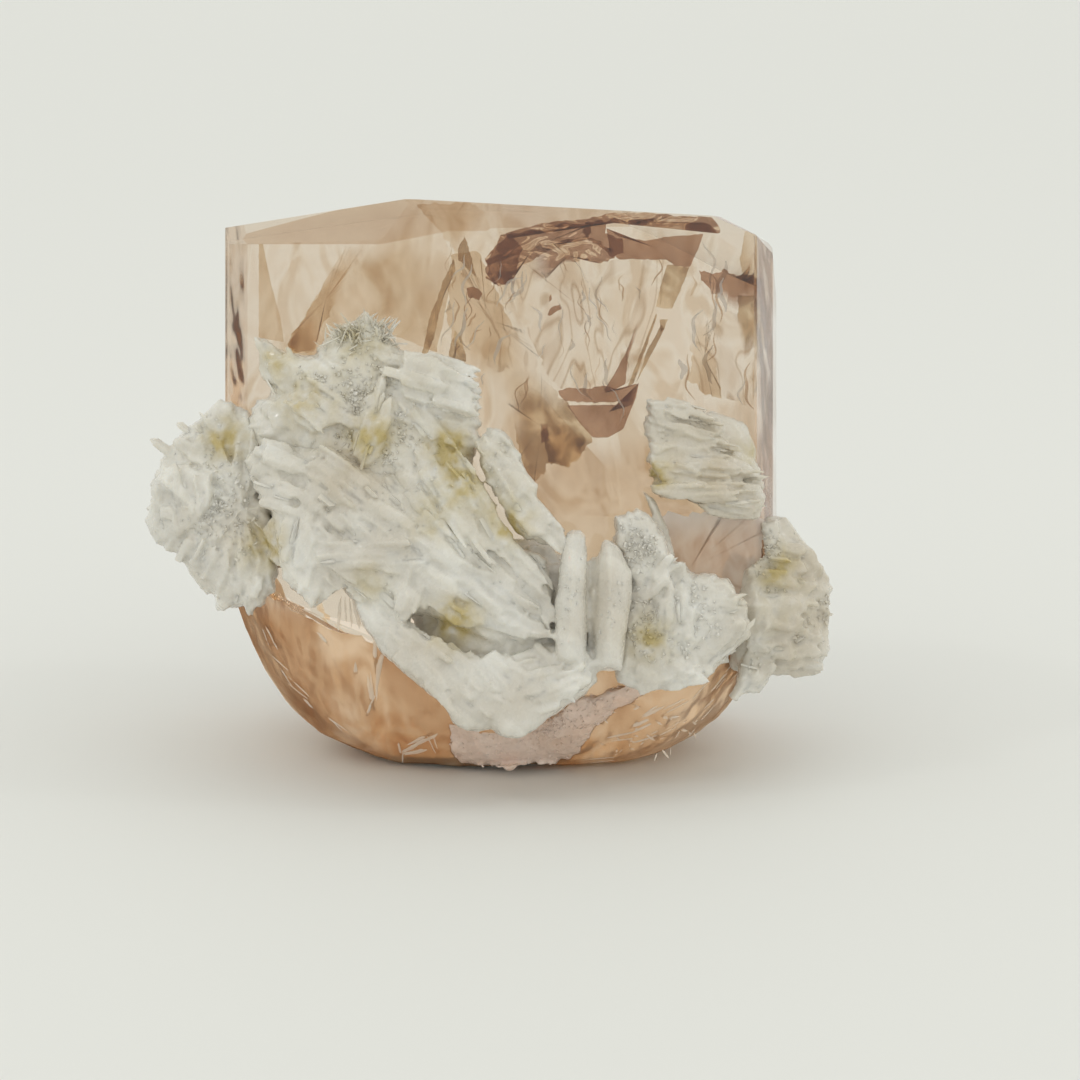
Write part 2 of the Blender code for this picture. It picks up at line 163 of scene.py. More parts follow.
def prism():
    """The flat-faced body: every corner where three planes meet inside all the others, in one hull."""
    planes = [face_plane(*face) for face in TOPAZ_FACES.values()]
    corners = []
    for trio in itertools.combinations(planes, 3):
        normals = np.array([plane[0] for plane in trio])
        if abs(np.linalg.det(normals)) < PARALLEL:
            continue
        corner = np.linalg.solve(normals, [plane[1] for plane in trio])
        if all(normal @ corner <= distance + SAME_PLACE for normal, distance in planes):
            corners.append(corner)
    shape = bmesh.new()
    for corner in stand(corners):
        shape.verts.new(corner)
    bmesh.ops.remove_doubles(shape, verts=shape.verts, dist=SAME_PLACE)
    bmesh.ops.convex_hull(shape, input=shape.verts)
    bmesh.ops.dissolve_limit(shape, angle_limit=0.002, verts=shape.verts, edges=shape.edges)
    mesh = bpy.data.meshes.new("topaz_body")
    shape.to_mesh(mesh)
    shape.free()
    return linked("topaz_body", mesh)


def bowl(steps, rings):
    """The broken base as a grid of turn and share of the way out; height is share to BOWL_POWER.

    Its shell-shaped break is worked out as broad dents with fine ripples round them, and its front hangs
    lower by BELLY.
    """
    share, turn = np.meshgrid((np.arange(rings) + 1) / rings, math.tau * np.arange(steps) / steps,
                              indexing="ij")
    east, north = np.cos(turn), np.sin(turn)
    wide = np.where(east > 0, BOWL_RIGHT, BOWL_LEFT)
    deep = np.where(north > 0, BOWL_BACK, BOWL_FRONT)
    square = (np.abs(east) ** PLAN_POWER + np.abs(north) ** PLAN_POWER) ** (-1.0 / PLAN_POWER)
    dent = 0.35 * np.sin(3 * turn + 1.0 + 4.0 * share) + 0.22 * np.sin(7 * turn - 6.0 * share)
    dent += 0.14 * np.sin(13 * turn + 9.0 * share)
    belly = BELLY * np.clip(-north, 0.0, 1.0) ** 0.6 * np.sin(math.pi * share ** 1.3)
    height = np.maximum(BOWL_LOW + BOWL_RIM * share ** BOWL_POWER - belly, 0.2)
    flat = np.stack([wide * share * square * east, deep * share * square * north, height], axis=-1)
    broad, small = noise(flat, 4.2, 5), noise(flat, 1.5, 6)
    shells = np.abs(np.sin(5.0 * broad + 0.5 * small)) ** 0.6
    dent = dent * share * share + 0.26 * shells * share + 0.09 * noise(flat, 0.6, 8) * share
    reach = share * square + dent / BOWL_MEAN
    lift = 0.15 * (1 + noise(flat, 2.0, 9)) * (share < 0.9)
    points = np.stack([BOWL_CENTRE[0] + wide * reach * east, BOWL_CENTRE[1] + deep * reach * north,
                       height + lift], axis=-1)
    top = np.stack([BOWL_CENTRE[0] + wide[-1] * CUTTER_WIDER * east[-1],
                    BOWL_CENTRE[1] + deep[-1] * CUTTER_WIDER * north[-1],
                    np.full(steps, CUTTER_TOP)], axis=-1)
    points = np.concatenate([points.reshape(-1, 3), top, [[*BOWL_CENTRE, BOWL_LOW]]]) * MM
    faces = ring_faces(rings + 1, steps)
    pole = len(points) - 1
    faces += [(pole, (step + 1) % steps, step) for step in range(steps)]
    faces.append(tuple(rings * steps + step for step in range(steps)))
    return solid("bowl", points, faces, 0)


def shader(name):
    """A new material with its nodes, its links and its Principled shader."""
    made = bpy.data.materials.new(name)
    made.use_nodes = True
    nodes, links = made.node_tree.nodes, made.node_tree.links
    return made, nodes, links, nodes["Principled BSDF"]


def texture(nodes, links, kind, scale, detail=4.0, stretch=(1.0, 1.0, 1.0)):
    """A pattern on Object coordinates, stretched by a Mapping node; scale is per metre."""
    place = nodes.new("ShaderNodeTexCoord")
    mapping = nodes.new("ShaderNodeMapping")
    mapping.inputs["Scale"].default_value = stretch
    pattern = nodes.new(kind)
    pattern.inputs["Scale"].default_value = scale
    if "Detail" in pattern.inputs:
        pattern.inputs["Detail"].default_value = detail
    links.new(place.outputs["Object"], mapping.inputs["Vector"])
    links.new(mapping.outputs["Vector"], pattern.inputs["Vector"])
    return pattern


def ramp(nodes, links, source, stops):
    """A colour ramp over a value: stops are (position, colour)."""
    made = nodes.new("ShaderNodeValToRGB")
    band = made.color_ramp
    while len(band.elements) < len(stops):
        band.elements.new(0.5)
    for element, (position, colour) in zip(band.elements, stops):
        element.position = position
        element.color = (*colour, 1.0)
    links.new(source, made.inputs["Fac"])
    return made.outputs["Color"]


def bump(nodes, links, height, strength, distance):
    """The shader's normal pushed about by a height."""
    made = nodes.new("ShaderNodeBump")
    made.inputs["Strength"].default_value = strength
    made.inputs["Distance"].default_value = distance
    links.new(height, made.inputs["Height"])
    return made.outputs["Normal"]


def attribute(nodes, name):
    """A value kept on the mesh under that name."""
    made = nodes.new("ShaderNodeAttribute")
    made.attribute_name = name
    return made.outputs["Fac"]


def blend(nodes, links, share, first, second, kind="MIX"):
    """Two colours mixed by a share; each may be a number, a colour or a link."""
    made = nodes.new("ShaderNodeMix")
    made.data_type = "RGBA"
    made.blend_type = kind
    for socket, value in ((made.inputs[0], share), (made.inputs[6], first), (made.inputs[7], second)):
        if isinstance(value, (int, float)):
            socket.default_value = value
        elif isinstance(value, tuple):
            socket.default_value = (*value, 1.0)
        else:
            links.new(value, socket)
    return made.outputs[2]


def topaz_finish():
    """Clear topaz: plain transmission and absorption, glassy flat faces, rough and rippled broken ones."""
    made, nodes, links, main = shader("topaz_clear")
    main.inputs["IOR"].default_value = TOPAZ_IOR
    main.inputs["Transmission Weight"].default_value = 1.0
    broken = attribute(nodes, "broken")
    rusty = texture(nodes, links, "ShaderNodeTexNoise", 170.0, 1.5)
    rust = ramp(nodes, links, rusty.outputs["Fac"], ((0.35, (0.97, 0.86, 0.72)), (0.65, (0.99, 0.93, 0.85))))
    film = ramp(nodes, links, rusty.outputs["Fac"], ((0.35, (0.58, 0.40, 0.28)), (0.65, (0.74, 0.58, 0.44))))
    skin = blend(nodes, links, attribute(nodes, "stained"), WHITE, film)
    most = ramp(nodes, links, broken, ((0.80, BLACK), (0.95, WHITE)))
    links.new(blend(nodes, links, most, skin, rust), main.inputs["Base Color"])
    rough = nodes.new("ShaderNodeMapRange")
    rough.inputs["To Min"].default_value = GLASSY
    rough.inputs["To Max"].default_value = BROKEN
    links.new(broken, rough.inputs["Value"])
    links.new(rough.outputs["Result"], main.inputs["Roughness"])
    ripple = texture(nodes, links, "ShaderNodeTexNoise", 900.0, 1.0, (1.0, 1.0, 0.35))
    height = nodes.new("ShaderNodeMath")
    height.operation = "MULTIPLY"
    links.new(ripple.outputs["Fac"], height.inputs[0])
    links.new(broken, height.inputs[1])
    links.new(bump(nodes, links, height.outputs["Value"], 0.8, 0.0004), main.inputs["Normal"])
    absorb = nodes.new("ShaderNodeVolumeAbsorption")
    absorb.inputs["Color"].default_value = ABSORBED
    absorb.inputs["Density"].default_value = ABSORPTION
    links.new(absorb.outputs["Volume"], nodes["Material Output"].inputs["Volume"])
    return made


topaz = prism()
broken_base = bowl(240, 70)
cut = topaz.modifiers.new("break", "BOOLEAN")
cut.operation = "INTERSECT"
cut.solver = "EXACT"
cut.object = broken_base
bpy.context.view_layer.update()
topaz.data = bpy.data.meshes.new_from_object(topaz.evaluated_get(bpy.context.evaluated_depsgraph_get()))
topaz.modifiers.clear()
bpy.data.objects.remove(broken_base)
planes = [face_plane(*face) for face in TOPAZ_FACES.values()]
standing = np.array([stand([normal])[0] - stand([(0, 0, 0)])[0] for normal, _ in planes]) / MM
starts = np.array([stand([np.array(normal) * distance])[0] for normal, distance in planes])
centres = np.array([face.center for face in topaz.data.polygons])
off_plane = np.abs(np.einsum("pk,fpk->fp", standing, centres[:, None, :] - starts[None]))
nearest = off_plane.argmin(axis=1)
flat = off_plane.min(axis=1) < ON_PLANE
etched = np.where(flat, np.array([ETCHED.get(name, 0.0) for name in TOPAZ_FACES])[nearest], 1.0)
stained = np.where(flat, np.array([STAINED.get(name, 0.0) for name in TOPAZ_FACES])[nearest], 0.0)
for label, mask in (("broken", etched), ("stained", stained)):
    topaz.data.attributes.new(label, "FLOAT", "FACE").data.foreach_set("value", mask.astype(np.float32))
topaz.data.shade_smooth()
topaz.data.set_sharp_from_angle(angle=math.radians(30.0))
topaz.data.materials.clear()
topaz.data.materials.append(topaz_finish())
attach(topaz, "root")
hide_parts("topaz_crystal")

# The films of the topaz: healed cracks and stained sheets thinner than paper, which grew with the
# crystal, a few millimetres behind its front faces. The brown V high on the right front face is a painted
# reflection, laid in as tinted films like the others. The etched skin and the frost are the bitten surface
# of two faces, and lie just in front of them.
AXIS_X, AXIS_Z, VIEW_FROM = 3.384, 16.99, 250.0     # where the line of sight meets the front edge's plane
FRONT_EDGE, FILM_THICK = -13.0, 0.03                # how deep that plane is, and how thick a film is

# Each film's flat face, how far behind it the film lies, how ragged its rim is, the side that it fades
# out towards, and its outline (x, z).
# The top band of the brown V: painted reflection, as a tinted film.
PAINTED_V_BAND = (
    ("front_right", 2.6, 0.05, (0, 0),
     ((0.9, 38.9), (2.7, 39.4), (4.2, 39.7), (7.3, 40), (8.4, 40.3), (10.9, 40.3), (13.5, 40),
      (15.6, 39.9), (16.3, 39), (16.1, 38.8), (15.3, 39.5), (13.8, 39.5), (11.3, 39.8), (8.7, 39.9),
      (7.7, 39.6), (4.8, 39.2), (2.7, 38.9), (1.1, 38.5))),
    ("front_right", 2.8, 0.12, (0, 0),
     ((0.5, 38.7), (1.9, 39), (3.7, 39.3), (4.8, 39.5), (7, 39.6), (7.1, 38.9), (6.6, 38.3), (5.3, 38.2),
      (4.2, 37.7), (3, 37), (1.9, 36.6), (1.5, 35.7), (0.5, 35.1), (-0.6, 35.7), (-0.2, 36.4), (-0.6, 37),
      (0.3, 38))),
    ("front_right", 2.8, 0.12, (-0.6, -0.8),
     ((2.7, 37.9), (4.8, 38.3), (7, 38.6), (7.7, 38.2), (8.6, 37.7), (8.6, 37), (7.7, 36.7), (6.3, 37),
      (4.8, 36.6), (3.7, 35.7), (3, 35.4), (2.4, 36.1))),
)
# The rest of the brown V, its arms and its foot, and a second small V at the right: painted reflection, as
# tinted films, with a few small spots besides.
PAINTED_V_REFLECTION = (
    ("front_right", 2.9, 0.1, (0, 0),
     ((-0.6, 36.3), (-0.4, 37), (0.3, 37.9), (0.9, 38.6), (1.5, 38.6), (2.1, 37.7), (1.8, 37), (1.7, 36),
      (0.9, 35.2), (0.1, 35.3))),
    ("front_right", 2.8, 0.08, (0, 0),
     ((6.6, 39.6), (7.7, 39.9), (8.1, 39.5), (8, 38.9), (8.6, 38.6), (9.3, 38.4), (9.3, 37.4), (8.4, 37.2),
      (7.6, 37.9), (6.8, 38.3), (6.4, 38.9))),
    ("front_right", 2.7, 0.04, (0, 0),
     ((8.1, 39.2), (9.1, 38.6), (10.9, 38.3), (12.3, 38.6), (15, 38.8), (14.5, 37.5), (14, 36.4),
      (12.9, 36.6), (12.3, 37), (10.6, 37), (9, 37), (8.3, 37.6))),
    ("front_right", 3, 0.03, (0, 0.7),
     ((10.4, 32.8), (10.2, 31.5), (9.6, 29.8), (9.4, 28.1), (8.3, 27.5), (7.9, 27.6), (8.6, 28.7),
      (9.1, 29.7), (9.8, 31.2))),
    ("front_right", 3.1, 0.06, (0, 0),
     ((4.6, 27.6), (5.3, 27.8), (7, 27.8), (8, 28), (9.3, 27.7), (10.3, 28.1), (9.6, 26.9), (8.1, 26.8),
      (6.4, 26.8), (5.1, 26.9))),
    ("front_right", 3, 0.015, (0, 0),
     ((5.3, 26.6), (7.6, 26.6), (9.9, 26.6), (10.4, 28.2), (10.2, 27.2), (9.3, 24.9), (8.2, 24.3),
      (7.1, 24.3), (6.3, 25.2))),
    ("front_right", 3, 0.05, (0, 0),
     ((3.9, 33.1), (4.2, 33.6), (4.8, 33.8), (4.8, 33.4), (4.1, 33))),
    ("front_right", 3.1, 0.03, (0, 0),
     ((4, 34.3), (4.2, 34.5), (4.2, 34.1), (4, 33.9))),
    ("front_right", 2.6, 0.1, (0, -0.6),
     ((14.6, 36.2), (15.5, 36), (16.5, 36.3), (17.2, 35.8), (17.9, 36), (18.9, 35.8), (18.9, 34.3),
      (17.6, 33.4), (16.8, 33.6), (16.5, 34.4), (15.6, 34.6))),
    ("front_right", 3, 0.06, (0, 0),
     ((-1.9, 35), (-1.4, 35.1), (-0.8, 34.6), (-0.9, 34.1), (-1.7, 34.3))),
    ("front_right", 3.4, 0.06, (0, 0.4),
     ((3.4, 25.3), (3.9, 25.3), (4, 24.2), (3.5, 23.9))),
)
OLIVE = (
    ("front_right", 2.9, 0.03, (0, 0),
     ((12.4, 36.6), (14, 36.4), (13.3, 34.6), (12.7, 33.4), (11.6, 33.6), (12, 35.3))),
    ("front_right", 2.9, 0.03, (0, 0),
     ((11.9, 32.7), (12.5, 32.7), (12.2, 32), (11.9, 31.8))),
    ("front_right", 3, 0.02, (0, 0),
     ((11.6, 33.1), (11.7, 33), (10, 28.1), (9.6, 27.9), (10.6, 30.5))),
    ("front_right", 3.1, 0.02, (0, 0),
     ((12, 32.3), (12.2, 32), (10.7, 29.1), (10.2, 28.2), (11, 30.5))),
    ("front_right", 4, 0.15, (-0.4, 0.6),
     ((0.7, 29.1), (1.9, 29.3), (3.1, 29.1), (4.2, 27.9), (5.3, 26.6), (6.3, 25.2), (7.1, 24.2), (6.1, 23),
      (5.3, 22.2), (4, 22.6), (2.7, 20.6), (1.9, 23.3), (1.4, 25.6), (0.8, 27.6))),
    ("front_right", 4.2, 0.12, (0, 0.5),
     ((3.4, 24.8), (5.3, 25.3), (6.6, 24.2), (6.1, 23), (5.3, 22.2), (4, 22.6))),
    ("front_right", 3.6, 0.06, (0, 0),
     ((-2.7, 32), (-2.2, 31.4), (-1.9, 29.8), (-2.7, 29.8), (-3.2, 30))),
    ("front_right", 3.6, 0.05, (0, 0),
     ((-2, 38.6), (-1.7, 37.7), (-1.2, 35.7), (-1.8, 36.3), (-2.4, 36.9), (-2.5, 37.7))),
    ("front_right", 3.4, 0.05, (0, 0),
     ((-2.8, 37), (-2.6, 36.4), (-3.5, 34.3), (-4.2, 31.4), (-4.7, 30.1), (-5, 30.2), (-4.5, 32.7),
      (-3.7, 35))),
    ("front_right", 3.2, 0.06, (-0.5, -0.5),
     ((17.4, 34.4), (18.9, 34.3), (18.9, 31), (17.9, 29.8), (17.4, 32.1))),
)
BROWN = (
    ("front_left", 2.2, 0.06, (0.1, 0.8),
     ((-10.2, 38.2), (-8.7, 38.6), (-6.7, 39.9), (-5.5, 41), (-4.5, 39.9), (-2.7, 37.3), (-3.3, 33.9),
      (-4, 30.5), (-6.7, 31.5), (-8.7, 32.7), (-10.3, 31.8), (-11.7, 30.5), (-13.2, 30.2), (-14, 30.5),
      (-14.5, 31), (-13.7, 32.4), (-12.5, 34.3), (-11.4, 36.4))),
    ("front_left", 3.2, 0.12, (0.7, 0.6),
     ((-10.2, 38.2), (-9.1, 38), (-10.2, 35.6), (-11, 34), (-12.1, 32.1), (-12.6, 30.5), (-13.9, 30.4),
      (-14.5, 31), (-13.5, 32.5), (-12.4, 34.3), (-11.3, 36.4))),
    ("front_left", 2.9, 0.08, (0.5, 0.7),
     ((-12.6, 33.4), (-12, 32.3), (-12.5, 30.7), (-13.8, 30.4), (-14.5, 31), (-13.6, 32.4))),
    ("front_left", 2.4, 0.02, (0, 0),
     ((-16.6, 38.2), (-16.3, 38.2), (-15.7, 35.3), (-15, 32.7), (-14.8, 31.2), (-16.6, 31.5))),
    ("front_right", 2.8, 0.1, (0.6, -0.4),
     ((-5.4, 41), (-4.4, 41), (-1.7, 41.2), (-0.6, 40.3), (-0.9, 38.7), (-1.7, 38.2), (-2.5, 37.4))),
    ("front_right", 3.6, 0.12, (0.3, -0.6),
     ((-2.9, 37.2), (-1.0, 37.6), (-0.4, 36.0), (1.0, 33.0), (2.4, 30.2), (3.4, 27.6), (1.9, 26.6),
      (-0.8, 28.0),
      (-2.6, 30.4), (-3.3, 33.0))),
    ("front_right", 3.8, 0.15, (0, 0.7),
     ((14.2, 32.8), (15.3, 32.8), (16.2, 27.1), (14.9, 27.4), (13.9, 28.5))),
    ("front_right", 2.4, 0.05, (0, 0),
     ((18.1, 39.3), (18.9, 38.9), (18.9, 34.3), (18.1, 34.3), (17.6, 37))),
)
VEILS = (
    ("front_right", 3.3, 0.15, (0, 0.3),
     ((1.4, 37), (3.4, 36.4), (6.3, 37), (9.1, 36.9), (12.3, 37), (12, 34.3), (11.3, 32.1), (10.3, 28.2),
      (8, 27.9), (4.8, 27.6), (3.8, 28.8), (3.1, 30.7), (1.9, 32.8), (1.1, 35))),
    ("front_right", 3.8, 0.2, (0.7, 0),
     ((-2.2, 36.7), (-0.9, 35.4), (0.5, 34.8), (1.4, 34.3), (1.9, 32.1), (3.2, 30), (2.7, 29.1),
      (0.5, 29.1), (-0.5, 30), (-1.7, 31.4), (-2.2, 34.3))),
    ("front_right", 3.6, 0.1, (0, 0.5),
     ((14.9, 35), (16.3, 33.4), (18.1, 32.8), (18.6, 30), (18.6, 26.4), (16.3, 27.1), (14.9, 27.4),
      (14.2, 30))),
)
TAN = (
    ("front_right", 1.6, 0.0, (-0.1, 1),
     ((-1.7, 28.5), (1.9, 29.1), (6.3, 24.2), (10.6, 24.5), (14.9, 27.1), (19, 27.4), (19.5, 22),
      (19.9, 15.6), (20.1, 11.2), (10.6, 9.8), (4.8, 12.7), (0.5, 21.3))),
    ("front_right", 0.9, 0.1, (-0.9, 0.4),
     ((11.7, 19.9), (14.9, 19.4), (19, 19.9), (19.8, 17), (19.9, 12.7), (14.9, 12), (12.3, 14.1),
      (11.3, 17))),
)
CLOUDS = (
    ("front_left", 6.0, 0.0, (0, 0),
     ((-18.3, 38.1), (-10.0, 38.3), (-7.4, 38.4), (-5.6, 40.9), (-4.7, 41.1), (-3.2, 38.0), (-2.6, 30.0),
      (-3.0, 24.0), (-18.3, 24.0))),
    ("front_right", 6.5, 0.0, (0, 0),
     ((-4.3, 41.1), (1.0, 40.9), (10.0, 40.0), (14.4, 39.2), (18.2, 36.8), (18.9, 30.0), (19.0, 20.0),
      (12.0, 18.5),
      (4.0, 19.0), (-1.8, 24.0), (-2.0, 34.0), (-3.0, 38.6))),
)
ETCHED_SKIN = (
    ("front_right", -0.06, 0.3, (-0.2, 1),
     ((8.6, 17.0), (10.4, 18.2), (12.4, 18.8), (14.6, 18.9), (19.4, 19.2), (19.6, 12.0), (14.0, 10.4),
      (9.6, 11.4),
      (7.6, 13.6))),
)
FROST = (
    ("narrow_right", -0.06, 0.0, (0, 0),
     ((19, 38.9), (20.1, 38.2), (20.4, 34.3), (20.4, 19.9), (20.4, 12.7), (19, 12.7), (19, 19.9),
      (19, 34.3))),
)

def even_outline(corners, count):
    """The closed outline through the corners as count points, evenly spaced along it."""
    corners = np.asarray(corners, float)
    closed = np.concatenate([corners, corners[:1]])
    lengths = np.concatenate([[0.0], np.cumsum(np.linalg.norm(np.diff(closed, axis=0), axis=1))])
    at = np.linspace(0.0, lengths[-1], count, endpoint=False)
    return np.stack([np.interp(at, lengths, closed[:, 0]), np.interp(at, lengths, closed[:, 1])], axis=-1)


def seen(x, y, z):
    """Points laid out on the plane of the front edge, moved to their own depth along the lines of sight."""
    grow = 1.0 + (y - FRONT_EDGE) / VIEW_FROM
    return np.stack([AXIS_X + (x - AXIS_X) * grow, y, AXIS_Z + (z - AXIS_Z) * grow], axis=-1)


def shell_faces(rows, steps, turn=1):
    """The quads of a closed grid with a fan to a pole at both ends; the poles are the last two points."""
    first, last, end = rows * steps, rows * steps + 1, (rows - 1) * steps
    faces = ring_faces(rows, steps)
    faces += [(first, (step + 1) % steps, step) for step in range(steps)]
    faces += [(last, end + step, end + (step + 1) % steps) for step in range(steps)]
    return [tuple(face)[::turn] for face in faces]


def film(face, below, ragged, soft, corners, seed, steps=110, rings=8):
    """A thin closed sheet parallel to a flat face: a grid of turn and share, ragged at its rim.

    It fades out towards its rim on the soft side.
    """
    rim = even_outline(corners, steps)
    middle = rim.mean(axis=0)
    rim = rim + ragged * np.stack([noise(rim, 0.5, seed) + noise(rim, 0.2, seed + 1),
                                   noise(rim, 0.5, seed + 2) + noise(rim, 0.2, seed + 3)], axis=-1)
    share = np.linspace(0.04, 1.0, rings)[:, None, None]
    flat = middle + (rim[None] - middle) * share
    azimuth, _, point = TOPAZ_FACES[face]
    normal, distance = face_plane(azimuth, 0.0, point)
    x, z = flat[..., 0], flat[..., 1]
    depth = (x * normal[0] - distance) / -normal[1] + below / abs(normal[1])
    front, back = seen(x, depth, z), seen(x, depth + FILM_THICK, z)
    points = np.concatenate([front.reshape(-1, 3), back[::-1].reshape(-1, 3),
                             front[0].mean(axis=0)[None], back[0].mean(axis=0)[None]])
    out = (rim - middle) / np.linalg.norm(rim - middle, axis=1, keepdims=True)
    faced = np.clip(out @ np.array(soft, float) * 1.6, 0.0, 1.0)
    fade = faced * np.clip((share[..., 0] - 0.45) / 0.55, 0.0, 1.0)
    fades = np.concatenate([fade.ravel(), fade[::-1].ravel(), [0.0, 0.0]])
    return points, shell_faces(2 * rings, steps), fades


def joined(parts):
    """Many parts as one list of points, one of faces and one of each point's fade or tone."""
    points, faces, tones, first = [], [], [], 0
    for part_points, part_faces, part_tones in parts:
        points.append(part_points)
        tones.append(part_tones)
        faces += [tuple(corner + first for corner in face) for face in part_faces]
        first += len(part_points)
    return np.concatenate(points), faces, np.concatenate(tones)


def film_finish(name, stops, size, stretch, milky=0.0, twist=0.0, lines=()):
    """A tinted film that lets light straight through. Its tint is a noise through the stops of a ramp.

    The noise is stretched, and twist bends it in streaks. The ramp may carry a few thin lines on top, which
    follow the level lines of a second noise, as wrinkles do. The tint fades out with the fade attribute.
    """
    made, nodes, links, main = shader(name)
    cloud = texture(nodes, links, "ShaderNodeTexNoise", size, 2.5, stretch)
    cloud.inputs["Distortion"].default_value = twist
    tint = ramp(nodes, links, cloud.outputs["Fac"], stops)
    if lines:
        wrinkle = texture(nodes, links, "ShaderNodeTexNoise", size * 0.9, 2.0, (1.0, 1.0, 0.22))
        wrinkle.inputs["Distortion"].default_value = 0.6
        tint = blend(nodes, links, 1.0, tint, ramp(nodes, links, wrinkle.outputs["Fac"], lines), "MULTIPLY")
    tint = blend(nodes, links, attribute(nodes, "fade"), tint, WHITE)
    links.new(tint, main.inputs["Base Color"])
    main.inputs["IOR"].default_value = 1.0
    main.inputs["Roughness"].default_value = 0.0
    main.inputs["Transmission Weight"].default_value = 1.0 - milky
    return made


def thin_piece(name, parts, finish, standing=False):
    """One piece of many thin parts, held still in the crystal, with its fade kept for the finish.

    The points are in the crystal's frame, or already standing, in mm.
    """
    points, faces, fades = joined(parts)
    made = solid(name, points * MM if standing else stand(points), faces, 30.0)
    made.data.attributes.new("fade", "FLOAT", "POINT").data.foreach_set("value", fades.astype(np.float32))
    made.data.materials.append(finish)
    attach(made, "root")


def film_piece(name, table, finish, seed):
    """One piece of all the films in a table."""
    thin_piece(name, [film(*row, seed + 10 * i) for i, row in enumerate(table)], finish)


# The brown V: painted reflection, its band and its films tinted red-brown.
film_piece("painted_v_bands", PAINTED_V_BAND, film_finish("painted_v_band", (
    (0.40, (0.40, 0.24, 0.16)), (0.52, (0.50, 0.32, 0.22)), (0.55, (0.88, 0.76, 0.62)),
    (0.60, (0.60, 0.42, 0.30)),
    (0.72, (0.95, 0.88, 0.78))), 420.0, (1.0, 1.0, 2.6), twist=1.6), 200)
film_piece("painted_v_films", PAINTED_V_REFLECTION, film_finish("painted_v_film", (
    (0.38, (0.44, 0.27, 0.175)), (0.66, (0.55, 0.36, 0.25))), 420.0, (1.0, 1.0, 0.7)), 250)
film_piece("olive_films", OLIVE, film_finish("olive_film", (
    (0.40, (0.50, 0.37, 0.24)), (0.50, (0.66, 0.53, 0.37)),
    (0.62, (0.86, 0.76, 0.60))), 420.0, (1.0, 1.0, 0.8),
    twist=0.8), 400)
film_piece("brown_films", BROWN, film_finish("brown_film", (
    (0.36, (0.72, 0.58, 0.42)), (0.50, (0.82, 0.71, 0.57)),
    (0.66, (0.92, 0.84, 0.74))), 300.0, (1.0, 1.0, 0.6),
    twist=0.8), 600)
film_piece("wrinkled_veils", VEILS, film_finish("wrinkled_veil", (
    (0.36, (0.86, 0.80, 0.74)), (0.52, WHITE), (0.64, (0.97, 0.94, 0.90))), 300.0, (1.0, 1.0, 0.35),
    twist=0.4, lines=(
        (0.37, WHITE), (0.39, (0.74, 0.65, 0.55)), (0.41, WHITE), (0.475, WHITE), (0.49, (0.78, 0.70, 0.61)),
        (0.505, WHITE), (0.57, WHITE), (0.59, (0.70, 0.60, 0.50)), (0.605, WHITE))), 700)
film_piece("tan_veils", TAN, film_finish("tan_veil", (
    (0.36, (0.74, 0.60, 0.47)), (0.50, (0.82, 0.69, 0.56)),
    (0.66, (0.90, 0.79, 0.67))), 340.0, (1.0, 1.0, 0.45),
    twist=0.5), 800)
film_piece("clouded_veils", CLOUDS, film_finish("clouded_veil", (
    (0.38, (0.86, 0.77, 0.67)), (0.46, (0.95, 0.91, 0.86)), (0.53, (1.0, 0.99, 0.98)),
    (0.62, (0.96, 0.92, 0.88))),
    330.0, (1.0, 1.0, 0.55), twist=1.2), 870)
film_piece("etched_skin", ETCHED_SKIN, film_finish("etched_skin", (
    (0.36, (0.80, 0.66, 0.54)), (0.50, (0.88, 0.76, 0.65)),
    (0.66, (0.95, 0.86, 0.77))), 900.0, (1.0, 1.0, 0.5),
    milky=0.45, twist=0.5), 850)
film_piece("frost", FROST, film_finish("frost", (
    (0.40, (0.86, 0.82, 0.79)), (0.60, (0.99, 0.98, 0.98))), 700.0, (1.0, 1.0, 0.16), milky=0.2), 900)


def wisp(place, length, width, lean, seed, below):
    """A thin curved ribbon behind the right front face: an arc, with a width that tapers to both ends."""
    steps = 14
    share = np.linspace(0.0, 1.0, steps)
    bow = 0.22 * length * math.sin(seed * 1.7) * np.sin(math.pi * share)
    bow = bow + 0.05 * length * np.sin(9 * share + seed)
    along = (share - 0.5) * length
    x = place[0] + along * math.sin(lean) + bow * math.cos(lean)
    z = place[1] + along * math.cos(lean) - bow * math.sin(lean)
    half = width / 2 * np.sin(math.pi * np.clip(share, 0.03, 0.97)) ** 0.6
    azimuth, _, point = TOPAZ_FACES["front_right"]
    normal, distance = face_plane(azimuth, 0.0, point)
    rows = []
    for side, back in ((-1, 0.0), (1, 0.0), (1, FILM_THICK), (-1, FILM_THICK)):
        edge_x, edge_z = x + side * half * math.cos(lean), z - side * half * math.sin(lean)
        depth = (edge_x * normal[0] - distance) / -normal[1] + (below + back) / abs(normal[1])
        rows.append(seen(edge_x, depth, edge_z))
    points = np.stack(rows, axis=1).reshape(-1, 3)
    faces = ring_faces(steps, 4) + [(3, 2, 1, 0), tuple(range((steps - 1) * 4, steps * 4))]
    return points, faces, np.zeros(len(points))


def wisps(count, seed, corners, lengths, widths, leans, depths):
    """A list of ribbons strewn evenly over a four-cornered field, given as its corners in order (x, z)."""
    draw = random.Random(seed)
    parts = []
    for i in range(count):
        u, v = draw.random(), draw.random()
        left = [a + (b - a) * v for a, b in zip(corners[0], corners[3])]
        right = [a + (b - a) * v for a, b in zip(corners[1], corners[2])]
        place = [a + (b - a) * u for a, b in zip(left, right)]
        parts.append(wisp(place, draw.uniform(*lengths), draw.uniform(*widths), draw.uniform(*leans),
                          i + seed, draw.uniform(*depths)))
    return parts


